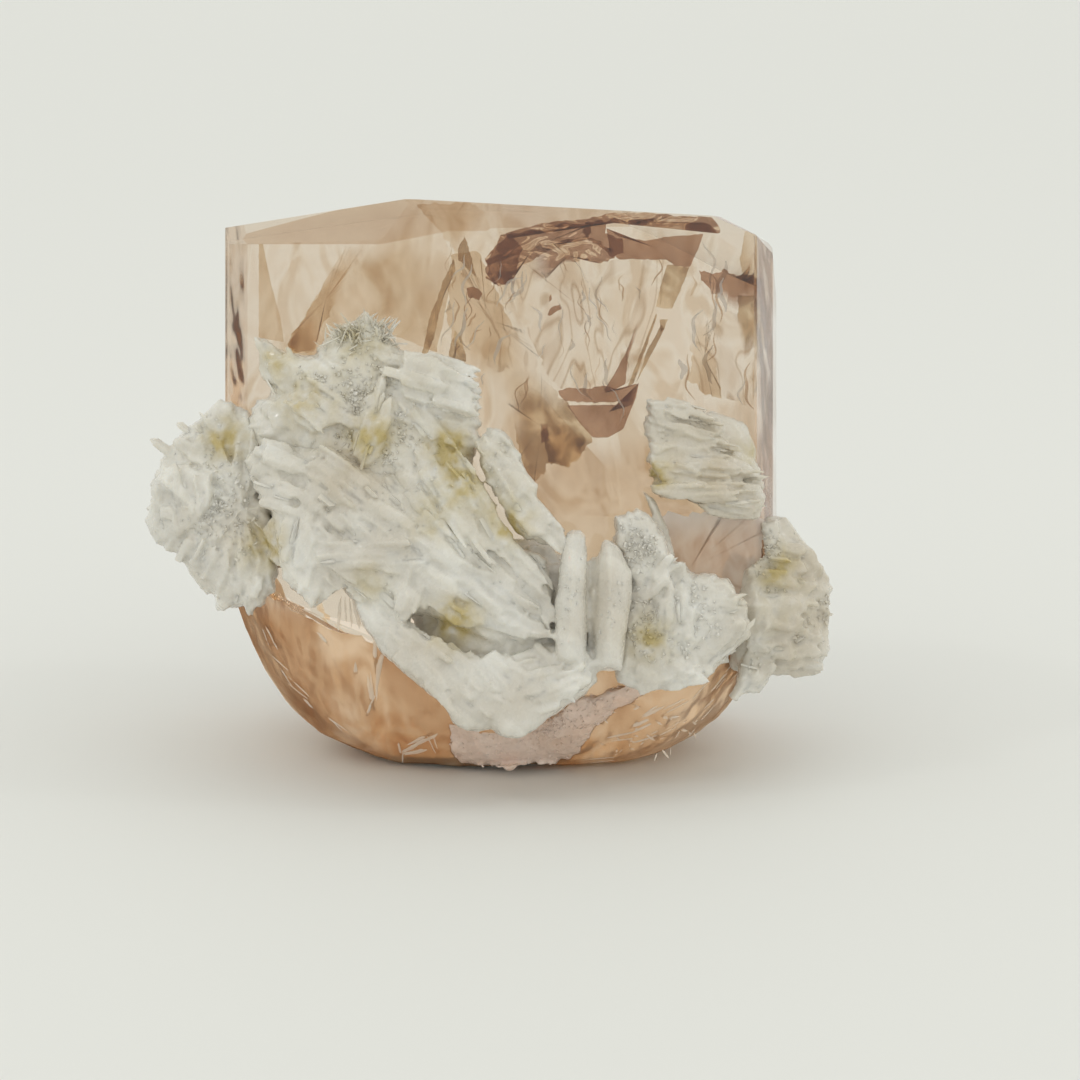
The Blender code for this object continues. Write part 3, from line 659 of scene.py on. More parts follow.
V_FIELD = ((-0.6, 38.0), (13.2, 38.0), (8.8, 26.4), (5.4, 26.4))
LEFT_FIELD = ((-3.5, 37.0), (1.2, 37.0), (2.8, 27.0), (-3.6, 29.5))
RIGHT_FIELD = ((14.0, 37.0), (18.6, 37.0), (18.6, 27.0), (12.6, 27.0))
thin_piece("dark_wisps", [
    *wisps(15, 61, V_FIELD, (0.8, 2.6), (0.04, 0.13), (-0.4, 0.4), (2.5, 4.5)),
    *wisps(16, 62, LEFT_FIELD, (0.8, 3.0), (0.05, 0.2), (-0.1, 0.6), (2.5, 4.5)),
    *wisps(6, 63, RIGHT_FIELD, (1.2, 3.6), (0.08, 0.3), (-0.2, 0.3), (2.5, 4.5)),
], film_finish("dark_wisp", ((0.38, (0.60, 0.47, 0.36)), (0.66, (0.84, 0.74, 0.63))), 500.0, (1.0, 1.0, 0.4)))
thin_piece("pale_wisps", [
    *wisps(22, 71, V_FIELD, (0.8, 3.2), (0.05, 0.30), (-0.5, 0.5), (2.2, 4.2)),
    *wisps(14, 72, LEFT_FIELD, (0.8, 3.4), (0.06, 0.30), (-0.1, 0.7), (2.2, 4.2)),
    *wisps(8, 73, RIGHT_FIELD, (1.2, 4.0), (0.10, 0.5), (-0.2, 0.3), (2.2, 4.2)),
], film_finish("pale_wisp", ((0.38, (1.0, 0.97, 0.92)), (0.66, WHITE)), 500.0, (1.0, 1.0, 0.3), milky=0.35))

# The rusty base: iron has stained the skin of the bowl-shaped break, and small curved cracks run on into
# the crystal, rusty where water got in. Open cracks show on the skin as silvery slivers, whose shine is
# painted as pale colour, and a patch of small pale shells paints the glints that the cracks catch.
# Together they give the base its orange look.
CRACKS = 70
LOWEST, FACE_GAP = 0.5, 0.3         # how far cracks stay above the bowl's foot and behind the flat faces
MISSED = -9.0                       # how deep a sight line ends that passes the topaz by
LIFTED, SKIN_THICK = 0.02, 0.03     # the stained skin: how far off the topaz it lies, and how thick it is
FADE_FROM, FADE_OVER = 12.0, 3.0    # the height from which the stain fades out, and over what height


def lie(points):
    """The way back from stand(): standing points in metres to the crystal's frame in mm."""
    points = np.asarray(points, float) / MM - PIVOT
    x, y, z = points[..., 0], points[..., 1], points[..., 2]
    along_y = y * math.cos(LEAN) - z * math.sin(LEAN)
    along_z = z * math.cos(LEAN) + y * math.sin(LEAN)
    return np.stack([x, along_y, along_z], axis=-1)


def inside_bowl(points, share):
    """Points drawn in to that share of the bowl's reach at their own height, where they lie outside it."""
    points = np.array(points, float)
    points[..., 2] = np.maximum(points[..., 2], BOWL_LOW + LOWEST)
    reach = share * np.minimum(1.0, ((points[..., 2] - BOWL_LOW) / BOWL_RIM) ** (1.0 / BOWL_POWER))
    dx, dy = points[..., 0] - BOWL_CENTRE[0], points[..., 1] - BOWL_CENTRE[1]
    wide = np.where(dx > 0, BOWL_RIGHT, BOWL_LEFT)
    deep = np.where(dy > 0, BOWL_BACK, BOWL_FRONT)
    out = (np.abs(dx / wide) ** PLAN_POWER + np.abs(dy / deep) ** PLAN_POWER) ** (1.0 / PLAN_POWER)
    shrink = np.minimum(1.0, reach / np.maximum(out, 1e-6))
    points[..., 0] = BOWL_CENTRE[0] + dx * shrink
    points[..., 1] = BOWL_CENTRE[1] + dy * shrink
    lying = lie(points * MM)
    for normal, distance in planes:
        over = np.maximum(0.0, lying @ normal - (distance - FACE_GAP))
        lying = lying - over[..., None] * normal
    return stand(lying) / MM


def skin_at(x, z):
    """The points and normals of the topaz's skin that the sight lines through (x, z) meet from the front."""
    near, far, missed = (stand(seen(x, np.full(np.shape(x), depth), z)) for depth in (-26.0, 12.0, MISSED))
    places, normals = np.array(missed), np.full(near.shape, (0.0, -1.0, 0.0))
    for index in np.ndindex(np.shape(x)):
        start, end = Vector(near[index]), Vector(far[index])
        hit, place, normal, _ = topaz.ray_cast(start, end - start)
        if hit:
            places[index], normals[index] = place, normal
    return places, normals


def rusty_skin(finish):
    """The stained skin of the broken base: its own faces lifted a hair off the clear topaz and thickened."""
    skin = bmesh.new()
    skin.from_mesh(topaz.data)
    skin.faces.ensure_lookup_table()
    flat_faces = [skin.faces[index] for index in np.flatnonzero(etched < 1.0)]
    bmesh.ops.delete(skin, geom=flat_faces, context="FACES")
    for vert in skin.verts:
        vert.co += vert.normal * LIFTED * MM
    mesh = bpy.data.meshes.new("rusty_skin")
    skin.to_mesh(mesh)
    skin.free()
    places = np.empty(len(mesh.vertices) * 3)
    mesh.vertices.foreach_get("co", places)
    places = places.reshape(-1, 3) / MM
    fade = np.clip((places[:, 2] - FADE_FROM) / FADE_OVER, 0.0, 1.0)
    mesh.attributes.new("fade", "FLOAT", "POINT").data.foreach_set("value", fade.astype(np.float32))
    mesh.materials.clear()
    mesh.materials.append(finish)
    made = linked("rusty_skin", mesh)
    thicken = made.modifiers.new("thicken", "SOLIDIFY")
    thicken.thickness = SKIN_THICK * MM
    thicken.offset = 1.0
    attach(made, "root")


def crack(middle, out, size, tilt, narrow, seed, within=0.92, steps=18, rings=5):
    """A small dished shell: a grid of turn and share round a place, facing out, with a wavy oval rim.

    Within keeps it inside that share of the bowl; without it the shell lies on the skin and bulges a little.
    """
    out = np.asarray(out, float) / np.linalg.norm(out)
    side = np.cross(out, (math.sin(tilt), 0.2, math.cos(tilt)))
    side /= np.linalg.norm(side)
    other = np.cross(out, side)
    angle = math.tau * np.arange(steps) / steps
    wave = 1.0 + 0.25 * np.sin(2 * angle + seed) + 0.15 * np.sin(5 * angle + 2 * seed)
    part = np.linspace(0.1, 1.0, rings)[:, None]
    across, along = size * part * wave * np.cos(angle), size * narrow * part * wave * np.sin(angle)
    hollow = (0.2 if within else -0.03) * size * (1 - part ** 2) * np.ones(steps)
    front = middle + across[..., None] * other + along[..., None] * side - hollow[..., None] * out
    points = np.concatenate([front.reshape(-1, 3), (front - FILM_THICK * out)[::-1].reshape(-1, 3)])
    faces = ring_faces(2 * rings, steps) + [tuple(range(steps))[::-1]]
    faces.append(tuple(range((2 * rings - 1) * steps, 2 * rings * steps)))
    return inside_bowl(points, within) if within else points, faces, np.zeros(len(points))


def crack_set(count, seed):
    """Cracks strewn through the base, most of them near its skin and more of them at the front."""
    draw = random.Random(seed)
    parts = []
    for i in range(count):
        turn = draw.choice((draw.uniform(math.pi, math.tau), draw.uniform(0, math.tau)))
        share, inward = draw.uniform(0.35, 0.97), draw.uniform(0.55, 0.9)
        rim = np.array([BOWL_RIGHT * share * math.cos(turn), BOWL_FRONT * share * math.sin(turn), 0.0])
        rim = rim * inward
        height = BOWL_LOW + BOWL_RIM * share ** BOWL_POWER
        out = rim / np.linalg.norm(rim) * (0.4 + share) + np.array([0.0, 0.0, share - 1.2])
        parts.append(crack(rim + (*BOWL_CENTRE, height * 0.9 + 1.3), out, draw.uniform(0.8, 2.4),
                           draw.uniform(-1.2, 1.2), 0.45, i))
    return parts


# Each silvery sliver's place (x, z) seen from the front, its length, and how far it leans, in degrees.
SLIVERS = (
    ((-8.4, 8.6), 1.6, 12), ((-8.0, 7.2), 1.9, 16), ((-9.0, 6.0), 1.4, 8), ((-8.6, 4.9), 1.2, 20),
    ((-9.6, 8.0), 1.0, 15), ((-5.8, 2.0), 1.3, 38), ((-5.2, 2.4), 1.6, 40), ((-6.4, 1.8), 0.9, 14),
    ((-4.4, 2.6), 0.8, -10), ((-15.2, 7.6), 1.3, -36), ((-14.2, 6.2), 1.2, -38), ((-13.2, 5.2), 1.0, -40),
    ((-12.2, 9.6), 0.9, -30), ((-11.2, 3.8), 0.9, -44), ((-16.2, 10.4), 0.9, -20), ((-10.9, 11.6), 1.2, 4),
    ((-9.9, 12.0), 1.3, -6), ((10.4, 3.6), 1.2, 62), ((11.6, 4.4), 1.0, 48), ((9.2, 2.8), 0.9, 70),
    ((13.2, 5.0), 1.1, 55), ((14.6, 6.2), 0.9, 40), ((16.2, 7.2), 1.1, 50), ((12.6, 3.4), 0.8, 66),
    ((15.4, 4.9), 0.8, 52), ((17.4, 7.8), 0.8, 45), ((11.0, 2.6), 0.8, 60), ((7.4, 1.4), 0.9, 75),
)
# The painted glints: how many small pale shells stand in for glints of light on the cracks, the middle of
# their patch (x, z) and its reach.
PAINTED_GLINTS, PAINTED_GLINT_PLACE, PAINTED_GLINT_REACH = 60, (9.6, 3.4), (5.5, 2.2)
ON_SKIN = 0.05                      # how far off the topaz slivers and glints lie, in mm


def sliver_set(seed):
    """The slivers, two narrow shells at each place on the bowl's front skin, and a patch of small painted
    glints.
    """
    draw = random.Random(seed)
    parts = []
    for i, ((x, z), length, lean) in enumerate(SLIVERS):
        for _ in range(2):
            near = np.array([x, z]) + (draw.uniform(-0.35, 0.35), draw.uniform(-0.35, 0.35))
            places, normals = skin_at(near[:1], near[1:])
            tilt = math.radians(lean + draw.uniform(-8, 8))
            size = length * draw.uniform(0.6, 1.1)
            parts.append(crack(places[0] / MM + ON_SKIN * normals[0], normals[0], size, tilt,
                               draw.uniform(0.07, 0.14), i, None, 12, 3))
    for i in range(PAINTED_GLINTS):
        around, reach = draw.uniform(0, math.tau), math.sqrt(draw.random())
        near = np.array(PAINTED_GLINT_PLACE) + (PAINTED_GLINT_REACH[0] * reach * math.cos(around),
                                        PAINTED_GLINT_REACH[1] * reach * math.sin(around))
        places, normals = skin_at(near[:1], near[1:])
        facing = normals[0] + (draw.uniform(-0.3, 0.3), 0, 0.2)
        parts.append(crack(places[0] / MM + ON_SKIN * normals[0], facing, draw.uniform(0.15, 0.5),
                           draw.uniform(-1.5, 1.5), draw.uniform(0.1, 0.4), i, None, 10, 3))
    return parts


rusty_skin(film_finish("rusty_skin", (
    (0.34, (0.62, 0.41, 0.26)), (0.50, (0.78, 0.59, 0.42)), (0.64, (0.94, 0.80, 0.65))),
    190.0, (1.0, 1.0, 0.5), milky=0.22, twist=1.0))
thin_piece("rusty_cracks", crack_set(CRACKS, 51), film_finish(
    "rusty_crack", ((0.38, (0.96, 0.84, 0.68)), (0.66, (1.0, 0.96, 0.90))), 400.0, WHITE), True)
# The slivers with their shine painted pale, and the painted glints.
thin_piece("silver_slivers_and_painted_glints", sliver_set(52), film_finish(
    "silver_sliver_and_painted_glint", ((0.38, (0.98, 0.86, 0.72)), (0.66, (1.0, 0.95, 0.88))), 400.0, WHITE, milky=0.5), True)

# The cleavelandite: white bladed albite whose plates grow side by side over the topaz and through each
# other, and are grown together with it. Each mass is made of the plates seen from the front, the stouter
# plates and hearts behind them, and small crystals on top.
CELL = 0.12                         # how fine the grid of a plate or of the crust is, in mm
PLATE_STATIONS = ((0.0, 0.4, 0.8, 1.0), (0.72, 1.0, 0.88, 0.5))     # a plate's width at shares of its length
PLATE_RAGGED, PLATE_ACROSS, LAYER_SPREAD = 0.11, 9, 0.92
REACH_SIDE, REACH_FRONT = 24.4, -18.5       # laid blades whose tips pass these are left out
COMBED = ("blades", "layers", "smooth")     # the kinds of plates that carry laid blades

# How the commoner kinds of faces are broken up, in three sizes of flat crystals: height, size, stretch.
BROKEN_UP = {
    "sugar": ((0.24, 1.1, 2.2), (0.10, 0.46, 1.8), (0.07, 0.24, 1.3)),
    "crust": ((0.16, 0.9, 1.5), (0.12, 0.4, 1.3), (0.06, 0.22, 1.2)),
    "blades": ((0.40, 0.75, 5.0), (0.13, 0.38, 2.5), (0.05, 0.22, 1.4)),
}
RIM_ROUGH = {"smooth": 0.30, "ridge": 0.22, "layers": 0.40, "crust": 0.35}      # others have 0.60


def facets(x, z, size, angle, stretch, seed):
    """Small flat crystals, 0 to about 1 high: each point takes the height of the nearest seed's own plane.

    The cells are stretched along the angle; every seed has a random place, level and two random tilts.
    """
    turn = math.radians(angle)
    u = (x * math.cos(turn) + z * math.sin(turn)) / (size * stretch)
    v = (z * math.cos(turn) - x * math.sin(turn)) / size
    cell = np.stack([np.floor(u), np.floor(v)], axis=-1).astype(np.int64)
    nearest, height = np.full(u.shape, 9.0), np.zeros(u.shape)
    for step in itertools.product((-1, 0, 1), repeat=2):
        at = cell + np.array(step)
        away_u = u - at[..., 0] - hashed(at, seed)
        away_v = v - at[..., 1] - hashed(at, seed + 1)
        distance = away_u ** 2 + away_v ** 2
        level, tilt, lean = hashed(at, seed + 2), hashed(at, seed + 3) - 0.5, hashed(at, seed + 4) - 0.5
        closer = distance < nearest
        height = np.where(closer, 0.6 * level + 1.3 * tilt * away_v + 0.9 * lean * away_u, height)
        nearest = np.where(closer, distance, nearest)
    return height


def relief(kind, x, z, angle, middle, seed):
    """The height of a plate's face in mm, as the sum of crystal facets at two or three sizes, by its kind.

    Rays run out from the middle, layers rise like steps, a ridge falls off to both sides, and a smooth
    face is nearly flat.
    """
    if kind in BROKEN_UP:
        return sum(high * facets(x, z, size, angle, stretch, seed + more)
                   for (high, size, stretch), more in zip(BROKEN_UP[kind], (0, 9, 19)))
    if kind == "rays":
        away = np.hypot(x - middle[0] - 1.5, z - middle[1])
        turn = np.arctan2(z - middle[1], x - middle[0] - 1.5)
        return (0.45 * facets(away, turn * 5.0, 0.9, 0.0, 4.0, seed)
                + 0.14 * facets(x, z, 0.45, angle, 1.5, seed + 9)
                + 0.06 * facets(x, z, 0.24, angle, 1.2, seed + 19))
    if kind == "layers":
        turn = math.radians(angle)
        across = z * math.cos(turn) - x * math.sin(turn)
        rows = across / 0.5 + 0.6 * noise(np.stack([x, z], -1), 1.8, seed)
        return 0.22 * (rows - np.floor(rows)) + 0.14 * facets(x, z, 0.4, angle, 5.0, seed + 9)
    if kind == "ridge":
        turn = math.radians(angle)
        across = (z - middle[1]) * math.cos(turn) - (x - middle[0]) * math.sin(turn)
        return (0.55 - 0.5 * np.abs(across) + 0.10 * facets(x, z, 0.5, angle, 6.0, seed)
                + 0.04 * facets(x, z, 0.22, angle, 2.5, seed + 9))
    return (0.20 * facets(x, z, 1.7, angle, 2.6, seed) + 0.05 * facets(x, z, 0.5, angle, 4.0, seed + 9)
            + 0.02 * noise(np.stack([x, z], -1), 0.3, seed + 19))


def flake(row, seed):
    """One albite plate on a grid of turn and share, front and back, from the outline it shows.

    Its row is its name, how its face is broken up, the angle its blades run at, its depth, its slopes, its
    thickness and its outline (x, z). The front rises steeply from the rim to the plate's thickness and
    carries its relief; the rim is ragged by facets; the back is a shallow dish.
    """
    _, kind, angle, depth, (slope_x, slope_z), thick, corners = row
    lengths = np.linalg.norm(np.diff(np.asarray(corners + corners[:1]), axis=0), axis=1).sum()
    steps = int(lengths / CELL)
    rim = even_outline(corners, steps)
    middle = rim.mean(axis=0)
    out = rim - middle
    radius = np.linalg.norm(out, axis=1, keepdims=True)
    tooth = facets(rim[:, 0], rim[:, 1], 0.7, angle, 1.6, seed + 31) - 0.8
    tooth = tooth + 0.5 * facets(rim[:, 0], rim[:, 1], 0.28, angle, 1.3, seed + 41)
    rim = rim + out / radius * (tooth * RIM_ROUGH.get(kind, 0.60))[:, None] * min(1.0, thick)
    rings = max(8, int(radius.mean() / CELL))
    share = np.linspace(1.5 / rings, 1.0, rings)[:, None]
    x = middle[0] + (rim[:, 0] - middle[0]) * share
    z = middle[1] + (rim[:, 1] - middle[1]) * share
    edge = np.sqrt(1.0 - share ** 9) * np.ones(steps)
    bumps = 1.6 * relief(kind, x, z, angle, middle, seed) * np.minimum(1.0, (1.0 - share) * 9.0 + 0.15)
    sink = 0.0 if row[0] == "sheet" else 0.5
    level = depth + sink + slope_x * (x - middle[0]) + slope_z * (z - middle[1])
    front = level - thick * (0.75 * edge + 0.25 * (1 - share ** 2)) - bumps + thick * 0.5
    few = np.linspace(1.0, 0.1, 6)[1:]
    back_x = middle[0] + (rim[:, 0] - middle[0]) * few[:, None]
    back_z = middle[1] + (rim[:, 1] - middle[1]) * few[:, None]
    back = depth + slope_x * (back_x - middle[0]) + slope_z * (back_z - middle[1])
    back = back + thick * (0.5 + 0.6 * (1 - few[:, None] ** 2))
    points = np.concatenate([seen(x, front, z).reshape(-1, 3), seen(back_x, back, back_z).reshape(-1, 3)])
    poles = [seen(x[0], front[0], z[0]).mean(axis=0), seen(back_x[-1], back[-1], back_z[-1]).mean(axis=0)]
    points = np.concatenate([points, poles])
    turn = -1 if np.cross(rim[0] - middle, rim[1] - middle) > 0 else 1
    faces = shell_faces(rings + len(few), steps, turn)
    tone = facets(points[:, 0], points[:, 2], 0.9, angle, 2.0, seed + 51)
    return points, faces, np.clip(tone + 0.2, 0.0, 1.0)


def flakes(table, seed):
    """All the plates of a table."""
    return [flake(row, seed + 100 * i) for i, row in enumerate(table)]


def rosette(count, centre, reach, turns, width, thick, rolls, seed, deep):
    """Plates that spread from one centre, from the first turn to the last, in degrees from the right.

    Each is a row of its base, its tip, its width, its thickness and its roll.
    """
    draw = random.Random(seed)
    rows = []
    for i in range(count):
        share = i / max(count - 1, 1)
        turn = math.radians(turns[0] + (turns[1] - turns[0]) * share + draw.uniform(-4, 4))
        far = reach[i % len(reach)] * draw.uniform(0.95, 1.03)
        tip = (centre[0] + far * math.cos(turn), centre[1] + deep[0] + (deep[1] - deep[0]) * share,
               centre[2] + far * math.sin(turn))
        roll = rolls[0] + (rolls[1] - rolls[0]) * share
        rows.append((*centre, *tip, width * draw.uniform(0.85, 1.1), thick, roll))
    return rows


def plate_axes(rows):
    """Each plate's length and its three directions: along it, across its width, through its thickness."""
    rows = np.asarray(rows, float)
    base, reach = rows[:, 0:3], rows[:, 3:6] - rows[:, 0:3]
    length = np.linalg.norm(reach, axis=1, keepdims=True)
    along = reach / length
    across = np.array([0.0, 1.0, 0.0]) - along * along[:, 1:2]
    across /= np.linalg.norm(across, axis=1, keepdims=True)
    beside = np.cross(along, across)
    turn = np.radians(rows[:, 8:9])
    wide = across * np.cos(turn) + beside * np.sin(turn)
    return base, length, along, wide, np.cross(along, wide)


def layered(rows, layers, seed):
    """Each plate parted through its thickness in thin layers, each with its own length and width."""
    draw = np.random.default_rng(seed)
    rows = np.repeat(np.asarray(rows, float), layers, axis=0)
    _, length, along, _, through = plate_axes(rows)
    place = (np.tile(np.arange(layers), len(rows) // layers) - (layers - 1) / 2) / layers
    thick = rows[:, 7].copy()
    moved = through * (place * thick * LAYER_SPREAD)[:, None]
    back, forth = draw.uniform(-0.03, 0.10, (2, len(rows), 1))
    rows[:, 0:3] += moved + along * length * back
    rows[:, 3:6] += moved - along * length * forth
    rows[:, 6] *= draw.uniform(0.82, 1.02, len(rows))
    rows[:, 7] = thick / layers * draw.uniform(0.72, 0.98, len(rows))
    rows[:, 8] += draw.uniform(-3, 3, len(rows))
    return rows


def plates(rows, seed, rounded, stations=26):
    """Closed plates on one grid: stations along each, and a flat loop of points round it at each station.

    The half width follows PLATE_STATIONS and is ragged by noise; the tip is cut round and ragged; the
    faces carry fine ridges that run along the plate.
    """
    rows = np.asarray(rows, float)
    base, length, along, wide, through = (part[:, None, None, :] for part in plate_axes(rows))
    side, flat = np.linspace(-1, 1, PLATE_ACROSS), np.ones(PLATE_ACROSS)
    loop = np.concatenate([np.stack([side, flat], 1), [[1.04, 0.35], [1.04, -0.35]],
                           np.stack([side[::-1], -flat], 1), [[-1.04, -0.35], [-1.04, 0.35]]])
    u, v = loop[:, 0][None, None, :], loop[:, 1][None, None, :]
    share = np.linspace(0, 1, stations)[None, :, None]
    half = rows[:, 6][:, None, None] / 2 * np.interp(share, *PLATE_STATIONS)
    deep = rows[:, 7][:, None, None] / 2
    mark = np.arange(len(rows))[:, None, None] * 17.3
    size = length[..., 0]
    edge = np.stack(np.broadcast_arrays(share * size, np.sign(u) * 9.1, mark), axis=-1)
    half = half * (1 + PLATE_RAGGED * noise(edge, 0.9, seed)
                   + 0.6 * PLATE_RAGGED * noise(edge, 0.33, seed + 1))
    tips = np.stack(np.broadcast_arrays(u * half, share * 0, mark), axis=-1)
    cut_off = (rounded * np.abs(u) ** 2.2 + 0.05 * noise(tips, 0.7, seed + 2)
               + 0.035 * noise(tips, 0.25, seed + 3))
    reach = share * size - share ** 3 * cut_off * size
    taper = 1.0 - 0.45 * share ** 6 - 0.1 * share
    ridge = np.stack(np.broadcast_arrays(u * half, share * size * 0.09, mark + v * 3), axis=-1)
    lines = 0.055 * noise(ridge, 0.32, seed + 4) + 0.08 * noise(ridge, 1.1, seed + 5)
    lines = lines * np.minimum(1.0, rows[:, 7][:, None, None] / 0.4)
    points = (base + along * reach[..., None] + wide * (u * half)[..., None]
              + through * (v * deep * taper + np.sign(v) * lines * (np.abs(v) > 0.9))[..., None])
    count = loop.shape[0]
    grid = points.reshape(len(rows), stations * count, 3)
    ends = np.stack([points[:, 0].mean(axis=1), points[:, -1].mean(axis=1)], axis=1)
    allin = np.concatenate([grid, ends], axis=1)
    one = [f[::-1] for f in ring_faces(stations, count)]
    root, tip, last = stations * count, stations * count + 1, (stations - 1) * count
    caps = [(root, step, (step + 1) % count) for step in range(count)]
    caps += [(tip, last + (step + 1) % count, last + step) for step in range(count)]
    each = allin.shape[1]
    quads = (np.array(one)[None] + np.arange(len(rows))[:, None, None] * each).reshape(-1, 4)
    tris = (np.array(caps)[None] + np.arange(len(rows))[:, None, None] * each).reshape(-1, 3)
    tone = np.repeat(np.random.default_rng(seed).uniform(0, 1, len(rows)), each)
    return allin.reshape(-1, 3), quads.tolist() + tris.tolist(), tone


def lump(centre, half, seed, rough, steps=60, rings=30):
    """A grainy lump on a grid of turn and height: an ellipsoid pushed out and in by noise at three sizes."""
    rise, turn = np.meshgrid(np.linspace(-0.5, 0.5, rings) * math.pi, math.tau * np.arange(steps) / steps,
                             indexing="ij")
    ball = np.stack([np.cos(rise) * np.cos(turn), np.cos(rise) * np.sin(turn), np.sin(rise)], axis=-1)
    at = ball * np.array(half)
    push = 0.95 + rough * (noise(at, 2.2, seed) + 0.7 * noise(at, 0.8, seed + 1)
                           + 0.45 * noise(at, 0.35, seed + 2))
    points = (at * push[..., None] + np.array(centre)).reshape(-1, 3)
    keep = points[steps - 1: (rings - 1) * steps + 1].copy()
    keep[0] = points[0:steps].mean(axis=0)
    keep[-1] = points[(rings - 1) * steps:].mean(axis=0)
    inner = rings - 2
    faces = ring_faces(inner, steps, 1)
    faces += [(0, 1 + (step + 1) % steps, 1 + step) for step in range(steps)]
    last = 1 + (inner - 1) * steps
    faces += [(len(keep) - 1, last + step, last + (step + 1) % steps) for step in range(steps)]
    return keep, faces, np.full(len(keep), 0.5)


def splinters(points, directions, lengths, widths, seed):
    """Small four-sided crystals, each with four corners below, four above and a blunt slanting end."""
    draw = np.random.default_rng(seed)
    directions = directions / np.linalg.norm(directions, axis=1, keepdims=True)
    side = np.cross(directions, draw.normal(size=directions.shape))
    side /= np.linalg.norm(side, axis=1, keepdims=True)
    other = np.cross(directions, side)
    flat = draw.uniform(0.3, 0.8, len(points))[:, None]
    rings = []
    for share, size in ((-0.5, 0.9), (0.75, 1.0), (1.0, 0.55)):
        for a, b in ((-1, -1), (1, -1), (1, 1), (-1, 1)):
            slant = 0.12 * a * (share > 0.9)
            rings.append(points + directions * (lengths * (share + slant))[:, None]
                         + (side * a + other * b * flat) * (widths * size / 2)[:, None])
    allin = np.stack(rings, axis=1)
    one = [f[::-1] for f in ring_faces(3, 4)] + [(0, 1, 2, 3), (11, 10, 9, 8)]
    quads = (np.array(one)[None] + np.arange(len(points))[:, None, None] * 12).reshape(-1, 4)
    tone = np.repeat(draw.uniform(0.2, 1, len(points)), 12)
    return allin.reshape(-1, 3), quads.tolist(), tone


def grains(parts, count, seed, kinds, table, length, width, wild=0.8):
    """Splinters on the plates of the named kinds, clear of their rims, each leaning its own way."""
    draw = np.random.default_rng(seed)
    chosen = [part[0][:int(0.62 * len(part[0]))] for part, row in zip(parts, table) if row[1] in kinds]
    points = np.concatenate(chosen)
    points = points[draw.integers(0, len(points), count)]
    lean = np.array([0.0, -1.0, 0.4]) + draw.normal(scale=wild, size=points.shape)
    return splinters(points, lean, draw.uniform(*length, count), draw.uniform(*width, count), seed)


def combs(parts, table, kinds, density, seed, length=(1.5, 4.5), width=(0.45, 1.05)):
    """Long thin blades laid side by side on the plates of the named kinds, along the way each one grew."""
    draw = np.random.default_rng(seed)
    places, ways = [], []
    for part, row in zip(parts, table):
        if row[1] in kinds:
            points = part[0][:int(0.66 * len(part[0]))]
            few = points[draw.integers(0, len(points), int(density * len(points)))]
            turn = math.radians(row[2])
            way = few - points.mean(axis=0) if row[1] == "rays" else (math.cos(turn), 0.0, math.sin(turn))
            way = way / np.linalg.norm(way, axis=-1, keepdims=True) * (1.0, 0.0, 1.0) - (0.0, 0.12, 0.0)
            places.append(few)
            ways.append(way + draw.normal(scale=0.08, size=few.shape))
    places, ways = np.concatenate(places), np.concatenate(ways)
    lengths = draw.uniform(*length, len(places)) / 2
    tips = stand(places + ways * lengths[:, None]) / MM
    inner = (np.abs(tips[:, 0]) < REACH_SIDE) & (tips[:, 1] > REACH_FRONT)
    return splinters(places[inner], ways[inner], lengths[inner], draw.uniform(*width, inner.sum()), seed)


# The yellow stains, then the patches of painted shade, darker and beige-grey where plates lie in shade: the
# place (x, z), the size and the strength.
STAINS = (
    ((-19.3, 24.2), 1.5, 0.75), ((-16.4, 16.6), 1.5, 0.85), ((-8.5, 24.2), 1.4, 1.0),
    ((-3.1, 23.5), 1.3, 0.9),
    ((-9.6, 31.4), 1.7, 0.4), ((-2.6, 11.1), 1.6, 1.0), ((-2.0, 21.0), 1.6, 0.6), ((11.2, 10.0), 1.5, 0.75),
    ((11.7, 21.6), 1.0, 0.8), ((20.6, 15.0), 1.3, 0.8), ((-13.5, 27.0), 1.8, 0.35), ((1.2, 18.0), 1.4, 0.7),
    ((19.0, 23.4), 1.2, 0.4), ((-15.5, 30.0), 1.2, 0.5), ((-4.4, 18.4), 1.5, 0.35), ((-8.6, 14.0), 1.2, 0.5),
    ((-9.5, 27.0), 6.5, 0.16), ((15.0, 22.0), 5.0, 0.10), ((0.0, 20.0), 4.5, 0.12), ((21.0, 12.0), 4.5, 0.12),
)
# The painted shade: soft darker patches where the plates lie in shade.
PAINTED_SHADES = (
    ((14.9, 22.8), 4.6, 0.85), ((22.0, 14.0), 4.4, 0.75), ((-10.3, 21.3), 2.6, 0.6), ((-5.3, 8.4), 3.0, 0.6),
    ((-9.6, 15.9), 2.6, 0.4), ((2.0, 5.5), 3.0, 0.35), ((9.5, 12.0), 3.0, 0.45), ((-8.0, 25.0), 5.0, 0.3),
    ((-17.5, 18.0), 2.2, 0.6), ((3.0, 18.0), 3.0, 0.3), ((22.5, 8.5), 3.0, 0.4),
)


def spots(points, table):
    """A sum of soft round spots seen from the front, each a bell curve of its own size and strength."""
    total = np.zeros(len(points))
    for (x, z), size, strength in table:
        away = ((points[:, 0] - x) ** 2 + (points[:, 2] - z) ** 2) / (size * size)
        total += strength * np.exp(-away)
    return total


